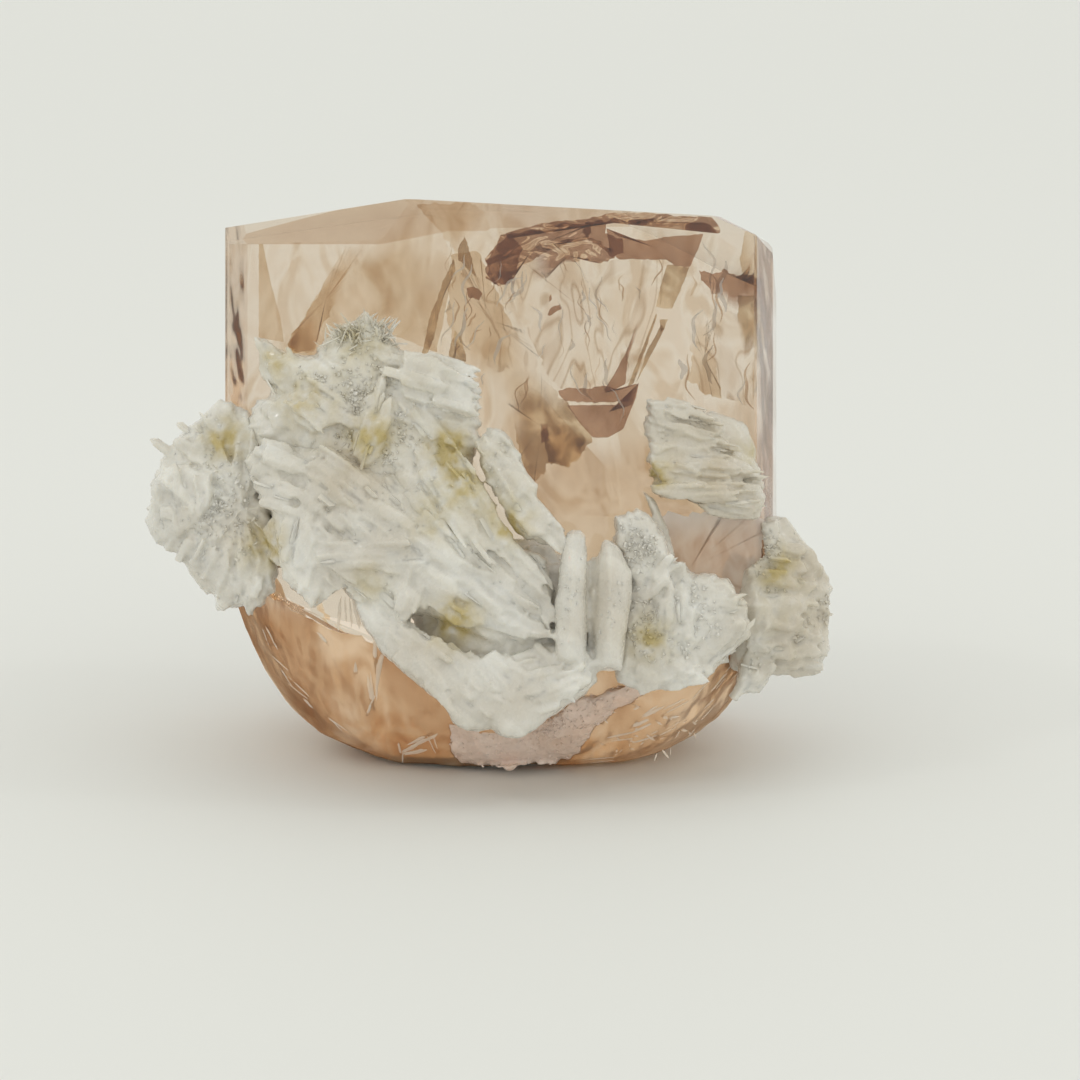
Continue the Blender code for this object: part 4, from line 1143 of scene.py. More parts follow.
def fused(name, parts, cell):
    """The parts grown into one skin, worked out on a lattice of small cells: points in mm and quads."""
    points, faces, _ = joined(parts)
    rough = solid(name, stand(points), faces, 0)
    fuse = rough.modifiers.new("fuse", "REMESH")
    fuse.mode = "VOXEL"
    fuse.voxel_size = cell * MM
    soften = rough.modifiers.new("soften", "SMOOTH")
    soften.iterations = 1
    bpy.context.view_layer.update()
    mesh = bpy.data.meshes.new_from_object(rough.evaluated_get(bpy.context.evaluated_depsgraph_get()))
    bpy.data.objects.remove(rough)
    places = np.empty(len(mesh.vertices) * 3)
    mesh.vertices.foreach_get("co", places)
    corners = np.empty(len(mesh.loops), dtype=np.int64)
    mesh.loops.foreach_get("vertex_index", corners)
    return lie(places.reshape(-1, 3)), corners.reshape(-1, 4)


def grown(name, parts, loose, finish, cell=0.15):
    """One piece: the parts fused, with loose crystals on top, and its tone, stain and painted shade kept."""
    points, quads = fused(name + "_rough", parts, cell)
    tones = 0.1 + 0.8 * facets(points[:, 0], points[:, 2], 1.1, -35.0, 3.0, 51)
    more, more_quads, more_tones = joined(loose)
    quads = np.concatenate([quads, np.array(more_quads) + len(points)])
    points, tones = np.concatenate([points, more]), np.concatenate([tones, more_tones])
    patchy = 1.0 + 0.9 * noise(points, 0.7, 77) + 0.4 * noise(points, 0.25, 78)
    stain = np.clip(spots(points, STAINS) * patchy, 0, 1)
    # Painted shade: soft patches, darker and beige-grey, where the plates lie in shade.
    painted_shade = np.clip(spots(points, PAINTED_SHADES) * (1.0 + 0.5 * noise(points, 1.6, 79)), 0, 1)
    made = solid(name, stand(points), quads.tolist(), 50.0)
    for label, values in (("tone", np.clip(tones, 0, 1)), ("stain", stain), ("painted_shade", painted_shade)):
        made.data.attributes.new(label, "FLOAT", "POINT").data.foreach_set("value", values.astype(np.float32))
    made.data.materials.append(finish)
    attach(made, "root")
    return made


def albite_finish(name, pale, deep, painted_shade_colour, stain_colour):
    """Pearly white albite that lets a little light in, with grain, stain in the recesses, painted shade and
    dark specks.
    """
    made, nodes, links, main = shader(name)
    cloud = texture(nodes, links, "ShaderNodeTexNoise", 300.0, 3.0)
    colour = ramp(nodes, links, cloud.outputs["Fac"], ((0.32, deep), (0.62, pale)))
    toned = ramp(nodes, links, attribute(nodes, "tone"), ((0.0, (0.82, 0.82, 0.82)), (1.0, WHITE)))
    colour = blend(nodes, links, 1.0, colour, toned, "MULTIPLY")
    # Painted shade: the colour turns a darker beige-grey in the shaded patches.
    colour = blend(nodes, links, attribute(nodes, "painted_shade"), colour, painted_shade_colour)
    colour = blend(nodes, links, attribute(nodes, "stain"), colour, stain_colour)
    speck = texture(nodes, links, "ShaderNodeTexVoronoi", 620.0)
    dots = ramp(nodes, links, speck.outputs["Distance"], ((0.055, WHITE), (0.085, BLACK)))
    where = texture(nodes, links, "ShaderNodeTexNoise", 210.0, 2.0)
    few = ramp(nodes, links, where.outputs["Fac"], ((0.60, BLACK), (0.70, (0.8, 0.8, 0.8))))
    dark = blend(nodes, links, 1.0, dots, few, "MULTIPLY")
    colour = blend(nodes, links, dark, colour, (0.16, 0.12, 0.08))
    links.new(colour, main.inputs["Base Color"])
    main.inputs["Subsurface Weight"].default_value = 0.3
    main.inputs["Subsurface Radius"].default_value = (1.0, 0.9, 0.75)
    main.inputs["Subsurface Scale"].default_value = 0.0005
    main.inputs["IOR"].default_value = 1.53
    grain = texture(nodes, links, "ShaderNodeTexNoise", 2200.0, 1.0)
    rough = ramp(nodes, links, grain.outputs["Fac"], ((0.42, (0.12, 0.12, 0.12)), (0.60, (0.45, 0.45, 0.45))))
    links.new(rough, main.inputs["Roughness"])
    links.new(bump(nodes, links, grain.outputs["Fac"], 0.3, 0.00006), main.inputs["Normal"])
    return made


white_albite = albite_finish("white_albite", (0.87, 0.85, 0.79), (0.76, 0.72, 0.64), (0.58, 0.51, 0.41),
                             (0.52, 0.42, 0.19))

# The left rosette: one scalloped mass of plates that spreads past the topaz's left edge, with two more
# rows of plates round its side, all grown from one centre.
LEFT = (
    ("sheet", "rays", 0, -12.0, (-0.25, 0), 2.2,
     ((-19.5, 27.5), (-21.5, 25.4), (-22.9, 24.4), (-24, 22.9), (-24.8, 20.6), (-25.1, 18.5), (-25, 17.6),
      (-23.8, 16.6), (-22.4, 15.8), (-21.9, 14.5), (-21, 13.3), (-20.1, 12.8), (-19.9, 11.8), (-18, 12),
      (-17.1, 11.8), (-15.6, 13.2), (-15, 15.6), (-15.5, 18.4), (-16.2, 20.6), (-16.1, 23.5),
      (-16.6, 25.3), (-17.8, 26.5))),
    ("upper", "smooth", 135, -12.6, (-0.35, 0.05), 0.9,
     ((-19.5, 27.4), (-21.1, 25.9), (-22.8, 24.5), (-23.9, 23), (-24, 22.3), (-22.7, 21.5), (-20.5, 22),
      (-19.2, 23.6), (-18.5, 25.6), (-18.6, 26.9))),
    ("outer", "smooth", 100, -13.0, (-0.45, 0), 1.1,
     ((-23.9, 22.5), (-24.8, 20.7), (-24.5, 20.1), (-25.1, 18.5), (-25, 17.6), (-24.3, 16.6),
      (-22.7, 16.9), (-21, 18.1), (-19.9, 20.2), (-20.2, 21.9), (-22, 22.6))),
    ("lower", "smooth", 60, -12.7, (-0.35, -0.1), 1.0,
     ((-24.3, 16.7), (-23.8, 16.6), (-22.5, 15.8), (-21.9, 14.5), (-21, 13.3), (-19.9, 13.1),
      (-18.9, 13.5), (-18.8, 15.3), (-20.2, 17.1), (-22.2, 17.9))),
    ("foot", "blades", 80, -13.0, (-0.2, -0.15), 1.0,
     ((-20.1, 13.2), (-20.2, 12.1), (-19.7, 11.7), (-18.6, 12.1), (-18, 12), (-17.5, 11.5), (-16.5, 12.2),
      (-15.7, 13.2), (-16.1, 14.7), (-17.6, 15.6), (-19.4, 15.1))),
    ("inner", "sugar", 80, -13.2, (0.2, 0), 0.8,
     ((-19.8, 19.9), (-18.2, 21), (-16.6, 19.9), (-15.9, 17.7), (-15.6, 15.6), (-15.6, 14.1),
      (-16.6, 13.2), (-17.9, 14.4), (-19.2, 16.4), (-20.1, 18.3))),
)
HEART_LEFT = ((-18.4, -9.6, 19.0), (4.4, 3.8, 5.8))
left_rows = rosette(9, (-19.4, -7.2, 19.4), (5.2, 5.8, 5.4), (80, 280), 5.0, 1.3, (35, 60), 12, (0.5, 1.5))
left_rows += rosette(6, (-19.6, -3.0, 18.6), (3.9, 4.4), (90, 270), 4.6, 1.3, (30, 50), 10, (1.0, 2.5))
left_layers = layered(left_rows, 3, 101)
left_flakes = flakes(LEFT, 1000)
left_rosette = grown("left_rosette", [
    lump(*HEART_LEFT, 3, 0.2, 90, 46),
    plates(left_layers, 102, 0.2),
    *left_flakes,
    combs(left_flakes, LEFT, ("blades", "smooth"), 0.005, 105, (1.0, 3.2)),
], [
    combs(left_flakes, LEFT, ("blades", "smooth"), 0.0015, 106, (0.8, 2.0), (0.2, 0.5)),
    grains(left_flakes, 500, 103, ("sugar", "rays"), LEFT, (0.08, 0.3), (0.08, 0.22)),
    grains(left_flakes, 120, 104, ("smooth", "blades"), LEFT, (0.03, 0.08), (0.12, 0.3), 0.5),
], white_albite)
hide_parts("albite_mass")

# The sugary upper left: a bed of small crystals with a bush of needles on top, thin slabs that slope down
# to the right over it, and the thicker slanting slabs below them with yellow-stained gaps between.
UPPER = (
    ("sheet", "sugar", -25, -15.2, (-0.2, 0.02), 2.4,
     ((-17.1, 31.5), (-15.3, 30.8), (-13.5, 30.2), (-12.6, 31), (-11.6, 32.5), (-10.3, 33.1), (-9, 33.5),
      (-8.1, 32.7), (-7.6, 31.6), (-5.8, 30.7), (-4, 30), (-2.2, 29.3), (-0.8, 28.3), (-0.6, 26.7),
      (-0.7, 25.3), (-1.1, 22.8), (-1.7, 19.9), (-3.8, 18.8), (-6.7, 19.5), (-10.3, 20), (-13.9, 21.3),
      (-16.6, 22.6), (-17.9, 24.9), (-17.8, 26.4), (-16.3, 27.4), (-16.2, 27.9), (-17.1, 29.4))),
    ("corner", "blades", -60, -14.6, (-0.1, 0.1), 0.8,
     ((-17.1, 31.5), (-16.4, 31.5), (-15.2, 30.7), (-13.9, 30.2), (-13.6, 29.1), (-14.5, 27.9),
      (-16.1, 27.7), (-17.1, 29.2))),
    ("long_low", "layers", -14, -17.0, (-0.18, 0.25), 0.8,
     ((-10.7, 29.4), (-8.7, 29.7), (-6, 29.1), (-3.5, 28.4), (-1.5, 27.5), (-0.6, 26.5), (-1.4, 25.6),
      (-3.4, 26.5), (-6.4, 27.2), (-9.3, 27.9), (-10.6, 28.5))),
    ("thin_a", "layers", -15, -17.4, (-0.15, 0.2), 0.35,
     ((-8.7, 30.1), (-7.3, 30.5), (-5, 30.1), (-2.5, 29.4), (-0.7, 28.2), (-1.4, 27.9), (-3.4, 28.7),
      (-6, 29.4), (-8.1, 29.7))),
    ("thin_b", "smooth", -14, -18.1, (-0.15, 0.2), 0.3,
     ((-8.3, 29.5), (-6.4, 29.2), (-4.7, 28.8), (-3, 28.1), (-3.2, 27.8), (-5.3, 28.2), (-7.3, 28.8),
      (-8.4, 29.2))),
    ("thin_c", "smooth", -16, -17.1, (-0.15, 0.2), 0.25,
     ((-6.1, 30.7), (-3.8, 30.2), (-1.9, 29.4), (-0.8, 28.6), (-1.7, 28.7), (-3.5, 29.4), (-5.8, 30.1))),
    ("mid_a", "smooth", 70, -17.3, (-0.3, 0.1), 0.6,
     ((-9.6, 27.1), (-7.7, 27.6), (-6.7, 26.9), (-7.3, 25.1), (-8.3, 22.6), (-9.4, 22), (-10.3, 23.5),
      (-10.2, 25.6))),
    ("mid_b", "blades", -30, -16.3, (-0.1, 0.2), 0.5,
     ((-14.8, 27.6), (-12.7, 28.5), (-10.7, 28.2), (-10.2, 26.9), (-11, 25.2), (-13, 24.5), (-14.6, 25.6))),
    ("mid_c", "blades", -60, -17.4, (-0.1, 0.1), 0.5,
     ((-7, 27.1), (-4.5, 26.5), (-3, 25.6), (-3.1, 24.2), (-5, 24.2), (-6.6, 25.3))),
)
SLABS = (
    ("one", "blades", -52, -18.0, (0.05, 0.1), 1.1,
     ((-0.6, 25.4), (0.6, 25.3), (1.4, 24.3), (2.4, 22.3), (2.7, 20.4), (4.1, 19.2), (5.3, 17.6),
      (4.7, 16.1), (3.9, 16.4), (1.7, 17.3), (-0.1, 20.1), (-1.2, 22.3), (-1.4, 24.2))),
    ("one_skin", "smooth", -45, -18.5, (0.05, 0.1), 0.5,
     ((0.5, 21.5), (2.7, 20.4), (4, 19.2), (5.1, 17.7), (4.5, 16.4), (3.1, 17.1), (1.4, 19.2))),
    ("two", "layers", -56, -18.1, (0.0, 0.1), 0.8,
     ((-3.8, 23.6), (-2.5, 23.8), (-1.2, 22), (-0.1, 19.9), (1.2, 17.3), (2.2, 15.6), (1.4, 14.8),
      (-0.1, 16.1), (-1.5, 18.4), (-3, 20.9))),
    ("three", "blades", -56, -18.0, (-0.05, 0.1), 0.9,
     ((-6.1, 23.9), (-5, 24.9), (-4, 23.8), (-2.8, 21.3), (-1.4, 18.4), (-0.1, 15.8), (-0.9, 15.1),
      (-2.7, 17), (-4.2, 19.6), (-5.7, 22.2))),
    ("four", "blades", -54, -17.8, (-0.1, 0.05), 0.8,
     ((-7.3, 22), (-6.1, 22.6), (-4.8, 20.9), (-3.4, 18.3), (-1.9, 15.8), (-1.7, 14.1), (-3, 14.3),
      (-4.7, 16.4), (-6.4, 19))),
    ("five", "blades", -50, -18.0, (0.1, 0), 0.9,
     ((0.9, 17.3), (2.7, 16.6), (4.2, 15.8), (4.7, 13.4), (4, 11.2), (1.9, 11.8), (0.5, 13.7),
      (0.1, 15.8))),
)
HEART_UPPER = ((-9.6, -13.6, 25.4), (7.0, 3.0, 4.8))
BUSH, NEEDLES = (-9.2, -15.0, 31.0), 420
upper_flakes = flakes(UPPER, 2000)
slab_flakes = flakes(SLABS, 3000)
bush_draw = np.random.default_rng(117)
needle_lean = bush_draw.normal(scale=(1.0, 0.5, 0.5), size=(NEEDLES, 3)) + (0.0, -0.7, 0.9)
needle_foot = np.array(BUSH) + bush_draw.normal(scale=(0.9, 0.4, 0.5), size=(NEEDLES, 3))
upper_mass = grown("upper_mass", [
    lump(*HEART_UPPER, 5, 0.16),
    *upper_flakes,
    *slab_flakes,
    combs(upper_flakes + slab_flakes, UPPER + SLABS, COMBED, 0.008, 117),
], [
    combs(upper_flakes + slab_flakes, UPPER + SLABS, COMBED, 0.003, 118, (1.0, 2.8),
          (0.2, 0.5)),
    grains(upper_flakes, 900, 115, ("sugar",), UPPER, (0.08, 0.3), (0.1, 0.26)),
    grains(slab_flakes, 500, 116, ("blades", "layers"), SLABS, (0.08, 0.25), (0.08, 0.2)),
    grains(upper_flakes + slab_flakes, 160, 119, ("smooth", "layers"), UPPER + SLABS, (0.03, 0.08),
           (0.12, 0.3), 0.5),
    splinters(needle_foot, needle_lean, bush_draw.uniform(0.7, 1.7, NEEDLES),
              bush_draw.uniform(0.07, 0.16, NEEDLES), 118),
], white_albite)
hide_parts("albite_mass")

# The middle and the prow: stout plates and a level rod over a smooth prow that juts forward and down,
# with two tall upright blades at its right.
MIDDLE = (
    ("sheet", "blades", -40, -16.2, (-0.15, 0), 2.6,
     ((-17.4, 23.6), (-15.6, 24.5), (-11.7, 24.2), (-8.1, 22.8), (-4.5, 21.3), (-0.9, 18.4), (2.7, 15.6),
      (4.8, 12.7), (4.5, 9.8), (0.5, 9.1), (-3.8, 10.9), (-6.7, 12), (-8.7, 9.8), (-10.3, 12.7),
      (-12, 14.3), (-12.4, 12.7), (-13, 11.9), (-13.9, 12.9), (-15.3, 14.1), (-15.7, 16.3), (-16.1, 18.8),
      (-17.4, 20.9), (-18.2, 22.6))),
    ("plate_a", "smooth", -20, -16.4, (-0.3, 0.1), 0.9,
     ((-18.2, 22.7), (-17.3, 23.5), (-15.6, 24.4), (-14.3, 23.5), (-13.8, 22), (-14.3, 21.6),
      (-15.9, 21.8), (-17.2, 21.3))),
    ("plate_b", "smooth", -20, -16.7, (-0.2, 0), 0.8,
     ((-17.4, 20.8), (-16.6, 21.7), (-14.5, 21.7), (-14.1, 20.3), (-14.6, 19), (-15.9, 19))),
    ("plate_c", "smooth", 75, -16.8, (-0.25, -0.05), 0.9,
     ((-15.9, 19), (-13.9, 19.9), (-12, 19), (-11.6, 16.4), (-12, 14.1), (-12.4, 12.7), (-13, 11.9),
      (-13.9, 12.9), (-15.3, 14.2), (-15.6, 16.3))),
    ("plate_d", "smooth", -35, -17.2, (-0.2, 0.1), 0.8,
     ((-14.2, 23.3), (-11.7, 23.9), (-9.4, 22.2), (-8.7, 20), (-10.3, 18.7), (-12.6, 19.3), (-14, 20.9))),
    ("plate_e", "blades", -30, -17.4, (-0.1, 0.05), 0.7,
     ((-11.7, 19.9), (-9.4, 20.9), (-7.3, 19.3), (-6.8, 17.7), (-9, 17), (-11.4, 17.4))),
    ("plate_f", "smooth", -50, -17.5, (-0.1, 0.1), 0.8,
     ((-9.1, 22), (-6.7, 22), (-4.7, 19.9), (-3.5, 17.4), (-4.5, 16.1), (-6.8, 17.3), (-8.6, 19.4))),
    ("rod", "smooth", 2, -17.9, (-0.12, 0), 1.0,
     ((-13.6, 16.7), (-11.7, 17.2), (-8.7, 17.3), (-5.3, 17), (-3.8, 15.8), (-4.4, 14.7), (-6.6, 14.3),
      (-9.1, 14.7), (-11.7, 14.8), (-13.5, 15.1))),
    ("under_rod", "smooth", 60, -16.8, (-0.15, -0.15), 0.8,
     ((-10.2, 14.5), (-6.7, 14.1), (-5.5, 12.7), (-6, 10.4), (-7, 8.9), (-8.7, 9.8), (-9.9, 11.8))),
    ("bar_a", "smooth", -20, -18.3, (-0.05, 0.05), 0.9,
     ((-7, 15.1), (-4.1, 15.8), (-1.7, 15.1), (0.5, 13.5), (1.9, 12.2), (1.4, 11.5), (-1.2, 12.7),
      (-4, 13.2), (-6.6, 13))),
    ("bar_b", "blades", -32, -18.2, (0, 0.1), 0.8,
     ((-5.3, 16.7), (-3.2, 16.4), (-0.5, 14.5), (1.7, 13), (3.4, 12.2), (4, 11.1), (1.9, 11.4), (-0.9, 13),
      (-3.8, 14.7))),
    ("bar_c", "smooth", 75, -18.3, (-0.1, 0), 0.6,
     ((-6.8, 13.1), (-6, 14.5), (-5.4, 14), (-5.8, 11.4), (-6.6, 10.7), (-7.1, 11.4))),
    ("prow", "smooth", -40, -17.6, (0, 0.12), 2.0,
     ((-10.2, 12.7), (-8.7, 12), (-6.7, 11.8), (-5.3, 9.8), (-1.7, 8.6), (1.9, 8.9), (4.5, 9.8),
      (7.6, 9.5), (7.7, 6.8), (6.7, 5.8), (4.8, 4.6), (3.7, 4), (3.2, 3.2), (1.8, 2.6), (0.6, 2.7),
      (-0.1, 3.2), (-1.7, 2.9), (-2.7, 3.5), (-3.6, 5), (-5.9, 6.8), (-8.1, 8.9), (-9.4, 10.8))),
    ("prow_left", "smooth", -48, -18.0, (-0.1, 0.1), 1.2,
     ((-8.7, 12.2), (-7, 12.7), (-5.7, 10.5), (-3.8, 8.4), (-1.7, 6.2), (-0.4, 3.9), (-1.7, 3),
      (-2.7, 3.6), (-3.6, 5.1), (-5.9, 6.9), (-8, 8.9))),
    ("prow_right", "smooth", 20, -18.4, (0.05, 0.1), 1.0,
     ((-0.2, 8.1), (3.4, 8.9), (7.7, 9.2), (7.7, 6.8), (6.7, 5.8), (4.8, 4.6), (3.7, 3.9), (3.2, 3.2),
      (1.8, 2.6), (0.5, 2.8), (-0.5, 4.3))),
    ("recess_lip", "smooth", -12, -18.4, (0, 0.1), 0.6,
     ((-4.5, 12.8), (-1.7, 12.4), (1.2, 11.5), (4.2, 11.1), (4.5, 9.8), (1.9, 10.1), (-0.9, 10.5),
      (-3.4, 11.4))),
)
BLADES = (
    ("tall", "ridge", 90, -18.9, (0, 0.0), 1.3,
     ((5.3, 17.6), (5.8, 18), (6.7, 17.6), (6.8, 15.9), (6.8, 12.7), (6.8, 9.8), (6.7, 7.8), (4.5, 8.1),
      (4.3, 12.1), (4.7, 14.9), (4.9, 16.4))),
    ("pointed", "ridge", 90, -18.3, (0, 0.0), 1.2,
     ((8.1, 17.3), (9.1, 16.6), (10, 14.8), (10.1, 12.6), (9.6, 9.6), (9.3, 7.5), (7.3, 7.5), (7, 11.4),
      (7.2, 14.8), (7.7, 16.6))),
    ("between", "smooth", 90, -17.6, (0, 0), 0.8,
     ((6.6, 15.6), (7.7, 16.1), (8, 12.7), (7.8, 9.1), (6.8, 8.6), (6.4, 12.7))),
)
HEART_MIDDLE = ((-9.4, -13.4, 18.0), (7.4, 3.0, 4.8))
HEART_PROW = ((1.2, -14.2, 11.8), (6.4, 3.4, 5.6))
HEART_FOLD = ((-0.8, -13.8, 10.3), (5.6, 2.6, 1.9))
middle_flakes = flakes(MIDDLE, 4000)
blade_flakes = flakes(BLADES, 5000)
middle_mass = grown("middle_mass", [
    lump(*HEART_MIDDLE, 7, 0.16),
    lump(*HEART_PROW, 9, 0.12),
    lump(*HEART_FOLD, 9, 0.07, 90, 46),
    *middle_flakes,
    *blade_flakes,
    combs(middle_flakes + blade_flakes, MIDDLE + BLADES, COMBED, 0.007, 126),
], [
    combs(middle_flakes + blade_flakes, MIDDLE + BLADES, COMBED, 0.0025, 127, (1.0, 3.2),
          (0.2, 0.55)),
    grains(middle_flakes, 500, 124, ("blades",), MIDDLE, (0.08, 0.3), (0.1, 0.24)),
    grains(middle_flakes + blade_flakes, 260, 125, ("smooth", "ridge"), MIDDLE + BLADES, (0.03, 0.08),
           (0.12, 0.3), 0.5),
], white_albite, 0.16)
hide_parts("albite_mass")

# The right blades: stubby plates right of the middle, a thin spear, and the rosette of level plates that
# stands out past the right edge in two rows.
RIGHT = (
    ("sheet", "sugar", 60, -15.6, (0.12, 0), 2.0,
     ((8.6, 18.9), (10.6, 19.4), (12.3, 17.9), (12.9, 15.8), (14.9, 14.8), (17.1, 14.3), (18.6, 12.1),
      (18.6, 9.9), (17.1, 8.6), (15.3, 7.2), (13.7, 6.2), (10.6, 6), (8.7, 6.6), (8, 9.8), (8.1, 13.4))),
    ("granular", "sugar", 60, -17.0, (0.1, 0.1), 1.0,
     ((8.6, 18.9), (10.2, 19.4), (11.6, 18.6), (12.6, 17.4), (12.8, 15.8), (12.2, 14.8), (10.6, 13.2),
      (9.6, 14.1), (8.7, 16.4))),
    ("thick", "smooth", 40, -17.2, (0.1, 0), 0.8,
     ((10.2, 13.1), (12.2, 15.1), (12.9, 15.8), (13.2, 15.1), (12.3, 13.7), (11, 12.4), (10.3, 12.4))),
    ("smooth_blade", "smooth", 90, -16.7, (0.25, 0), 0.9,
     ((11.6, 13.8), (12.6, 14.8), (14.2, 15), (14.8, 13.8), (14.9, 11.4), (14.5, 9.3), (13.3, 8.5),
      (11.7, 8.2), (11.4, 11.2))),
    ("beige", "smooth", 90, -15.9, (-0.2, 0), 0.5,
     ((10, 12.2), (11.3, 12.8), (11.7, 11.2), (11.7, 8.4), (10.6, 8.1), (9.9, 9.8))),
    ("plate_a", "layers", 0, -15.8, (0.15, 0.1), 0.8,
     ((14.7, 14.5), (17, 14.3), (17.7, 13.1), (18.6, 12.1), (18.4, 11.1), (16.5, 10.8), (15.2, 12))),
    ("plate_b", "smooth", 45, -15.6, (0.15, -0.1), 0.9,
     ((14.9, 11.8), (16.6, 11.2), (18.6, 11.4), (18.6, 9.9), (17, 8.7), (15.3, 7.3), (14.7, 8.6),
      (14.6, 10.2))),
    ("bottom", "smooth", 12, -16.0, (0.15, -0.1), 0.9,
     ((8.9, 6.7), (10, 7.6), (12.8, 7.8), (14.4, 8.3), (15.8, 8.2), (16.1, 7.5), (15.3, 6.8), (13.7, 6.2),
      (10.7, 6))),
    ("spear", "ridge", -68, -14.3, (0.1, 0), 0.5,
     ((10.7, 20.7), (11.7, 19.9), (12.7, 17.6), (13.2, 15.6), (12.8, 16), (11.6, 18.4))),
)
ROSETTE = (
    ("sheet", "blades", -10, -10.6, (0.25, 0), 2.0,
     ((19.3, 18.7), (21, 19), (21.7, 17.9), (22.7, 16.5), (24, 14.8), (24.3, 14.3), (24.3, 12.7),
      (24.3, 10.9), (24.3, 9.4), (24.3, 8.5), (23.8, 8.1), (23.7, 7.3), (22.2, 7), (19.9, 7.2),
      (19.8, 6.6), (19.2, 5.9), (17.2, 5.8), (17.6, 8.1), (18.8, 9.8), (18.6, 12), (17.8, 13.4),
      (17.9, 14.7), (19.5, 15.8))),
    ("upper", "smooth", -45, -11.0, (0.3, 0.1), 0.8,
     ((20.1, 18.4), (21, 18.9), (21.8, 17.9), (22.8, 16.4), (24, 14.8), (24.3, 14.3), (24.3, 13.4),
      (23.4, 12.9), (21.5, 14.4), (20.4, 15.8))),
    ("grainy", "sugar", -45, -12.0, (0.2, 0), 0.7,
     ((19.2, 18.6), (20.5, 18.7), (21.1, 17), (21.5, 15.1), (21.1, 13.4), (19.7, 13.7), (18.1, 13.8),
      (17.9, 14.7), (19.5, 15.8))),
    ("level_a", "layers", 0, -11.6, (0.25, 0.15), 0.7,
     ((19.4, 12.8), (21.7, 13.1), (23.1, 12.7), (23.7, 11.7), (22.7, 10.7), (19.7, 10.7), (19.1, 12))),
    ("level_b", "smooth", 0, -11.4, (0.25, 0.1), 0.7,
     ((19.2, 10.4), (22.2, 10.7), (24.3, 10.5), (24.3, 9.5), (24.3, 8.6), (22.1, 8.4), (19.4, 8.4))),
    ("outer", "blades", -20, -10.8, (0.3, 0.1), 0.6,
     ((22.7, 12.7), (24.3, 13.7), (24.3, 12.2), (24.3, 10.9), (24.3, 10.4), (23, 10.8))),
    ("level_c", "smooth", 0, -11.2, (0.2, 0), 0.6,
     ((19.5, 8.4), (23.8, 8.4), (23.7, 7.3), (22.2, 7), (19.9, 7.3))),
    ("low", "smooth", 60, -11.8, (0.2, 0), 0.6,
     ((17.7, 8.2), (19.9, 8.4), (19.9, 6.8), (19.2, 5.9), (17.2, 5.8))),
)
LOW_HEART = ((13.6, -12.6, 10.6), (4.2, 2.8, 4.2))
RIGHT_HEART = ((19.0, -8.2, 11.4), (3.2, 4.4, 4.8))
petal_rows = rosette(6, (18.2, -8.4, 11.2), (6.2, 6.5), (62, -30), 5.0, 1.4, (15, 30), 35, (-0.3, -0.3))
petal_rows += rosette(5, (18.6, -4.8, 11.4), (5.6, 6.0), (60, -28), 5.0, 1.4, (15, 30), 36, (0.5, 1.0))
petal_layers = layered(petal_rows, 3, 131)
right_flakes = flakes(RIGHT, 6000)
rosette_flakes = flakes(ROSETTE, 7000)
right_blades = grown("right_blades", [
    lump(*LOW_HEART, 31, 0.16),
    lump(*RIGHT_HEART, 33, 0.16),
    plates(petal_layers, 133, 0.16, 30),
    *right_flakes,
    *rosette_flakes,
    combs(right_flakes + rosette_flakes, RIGHT + ROSETTE, COMBED, 0.007, 137, (1.0, 3.0)),
], [
    combs(right_flakes + rosette_flakes, RIGHT + ROSETTE, COMBED, 0.0025, 138, (0.8, 2.4),
          (0.2, 0.5)),
    grains(right_flakes, 700, 134, ("sugar",), RIGHT, (0.08, 0.3), (0.1, 0.24)),
    grains(rosette_flakes, 600, 135, ("sugar", "blades"), ROSETTE, (0.08, 0.3), (0.1, 0.24)),
    grains(right_flakes + rosette_flakes, 140, 136, ("smooth",), RIGHT + ROSETTE, (0.03, 0.08),
           (0.12, 0.3), 0.5),
], white_albite, 0.16)
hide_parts("albite_mass")

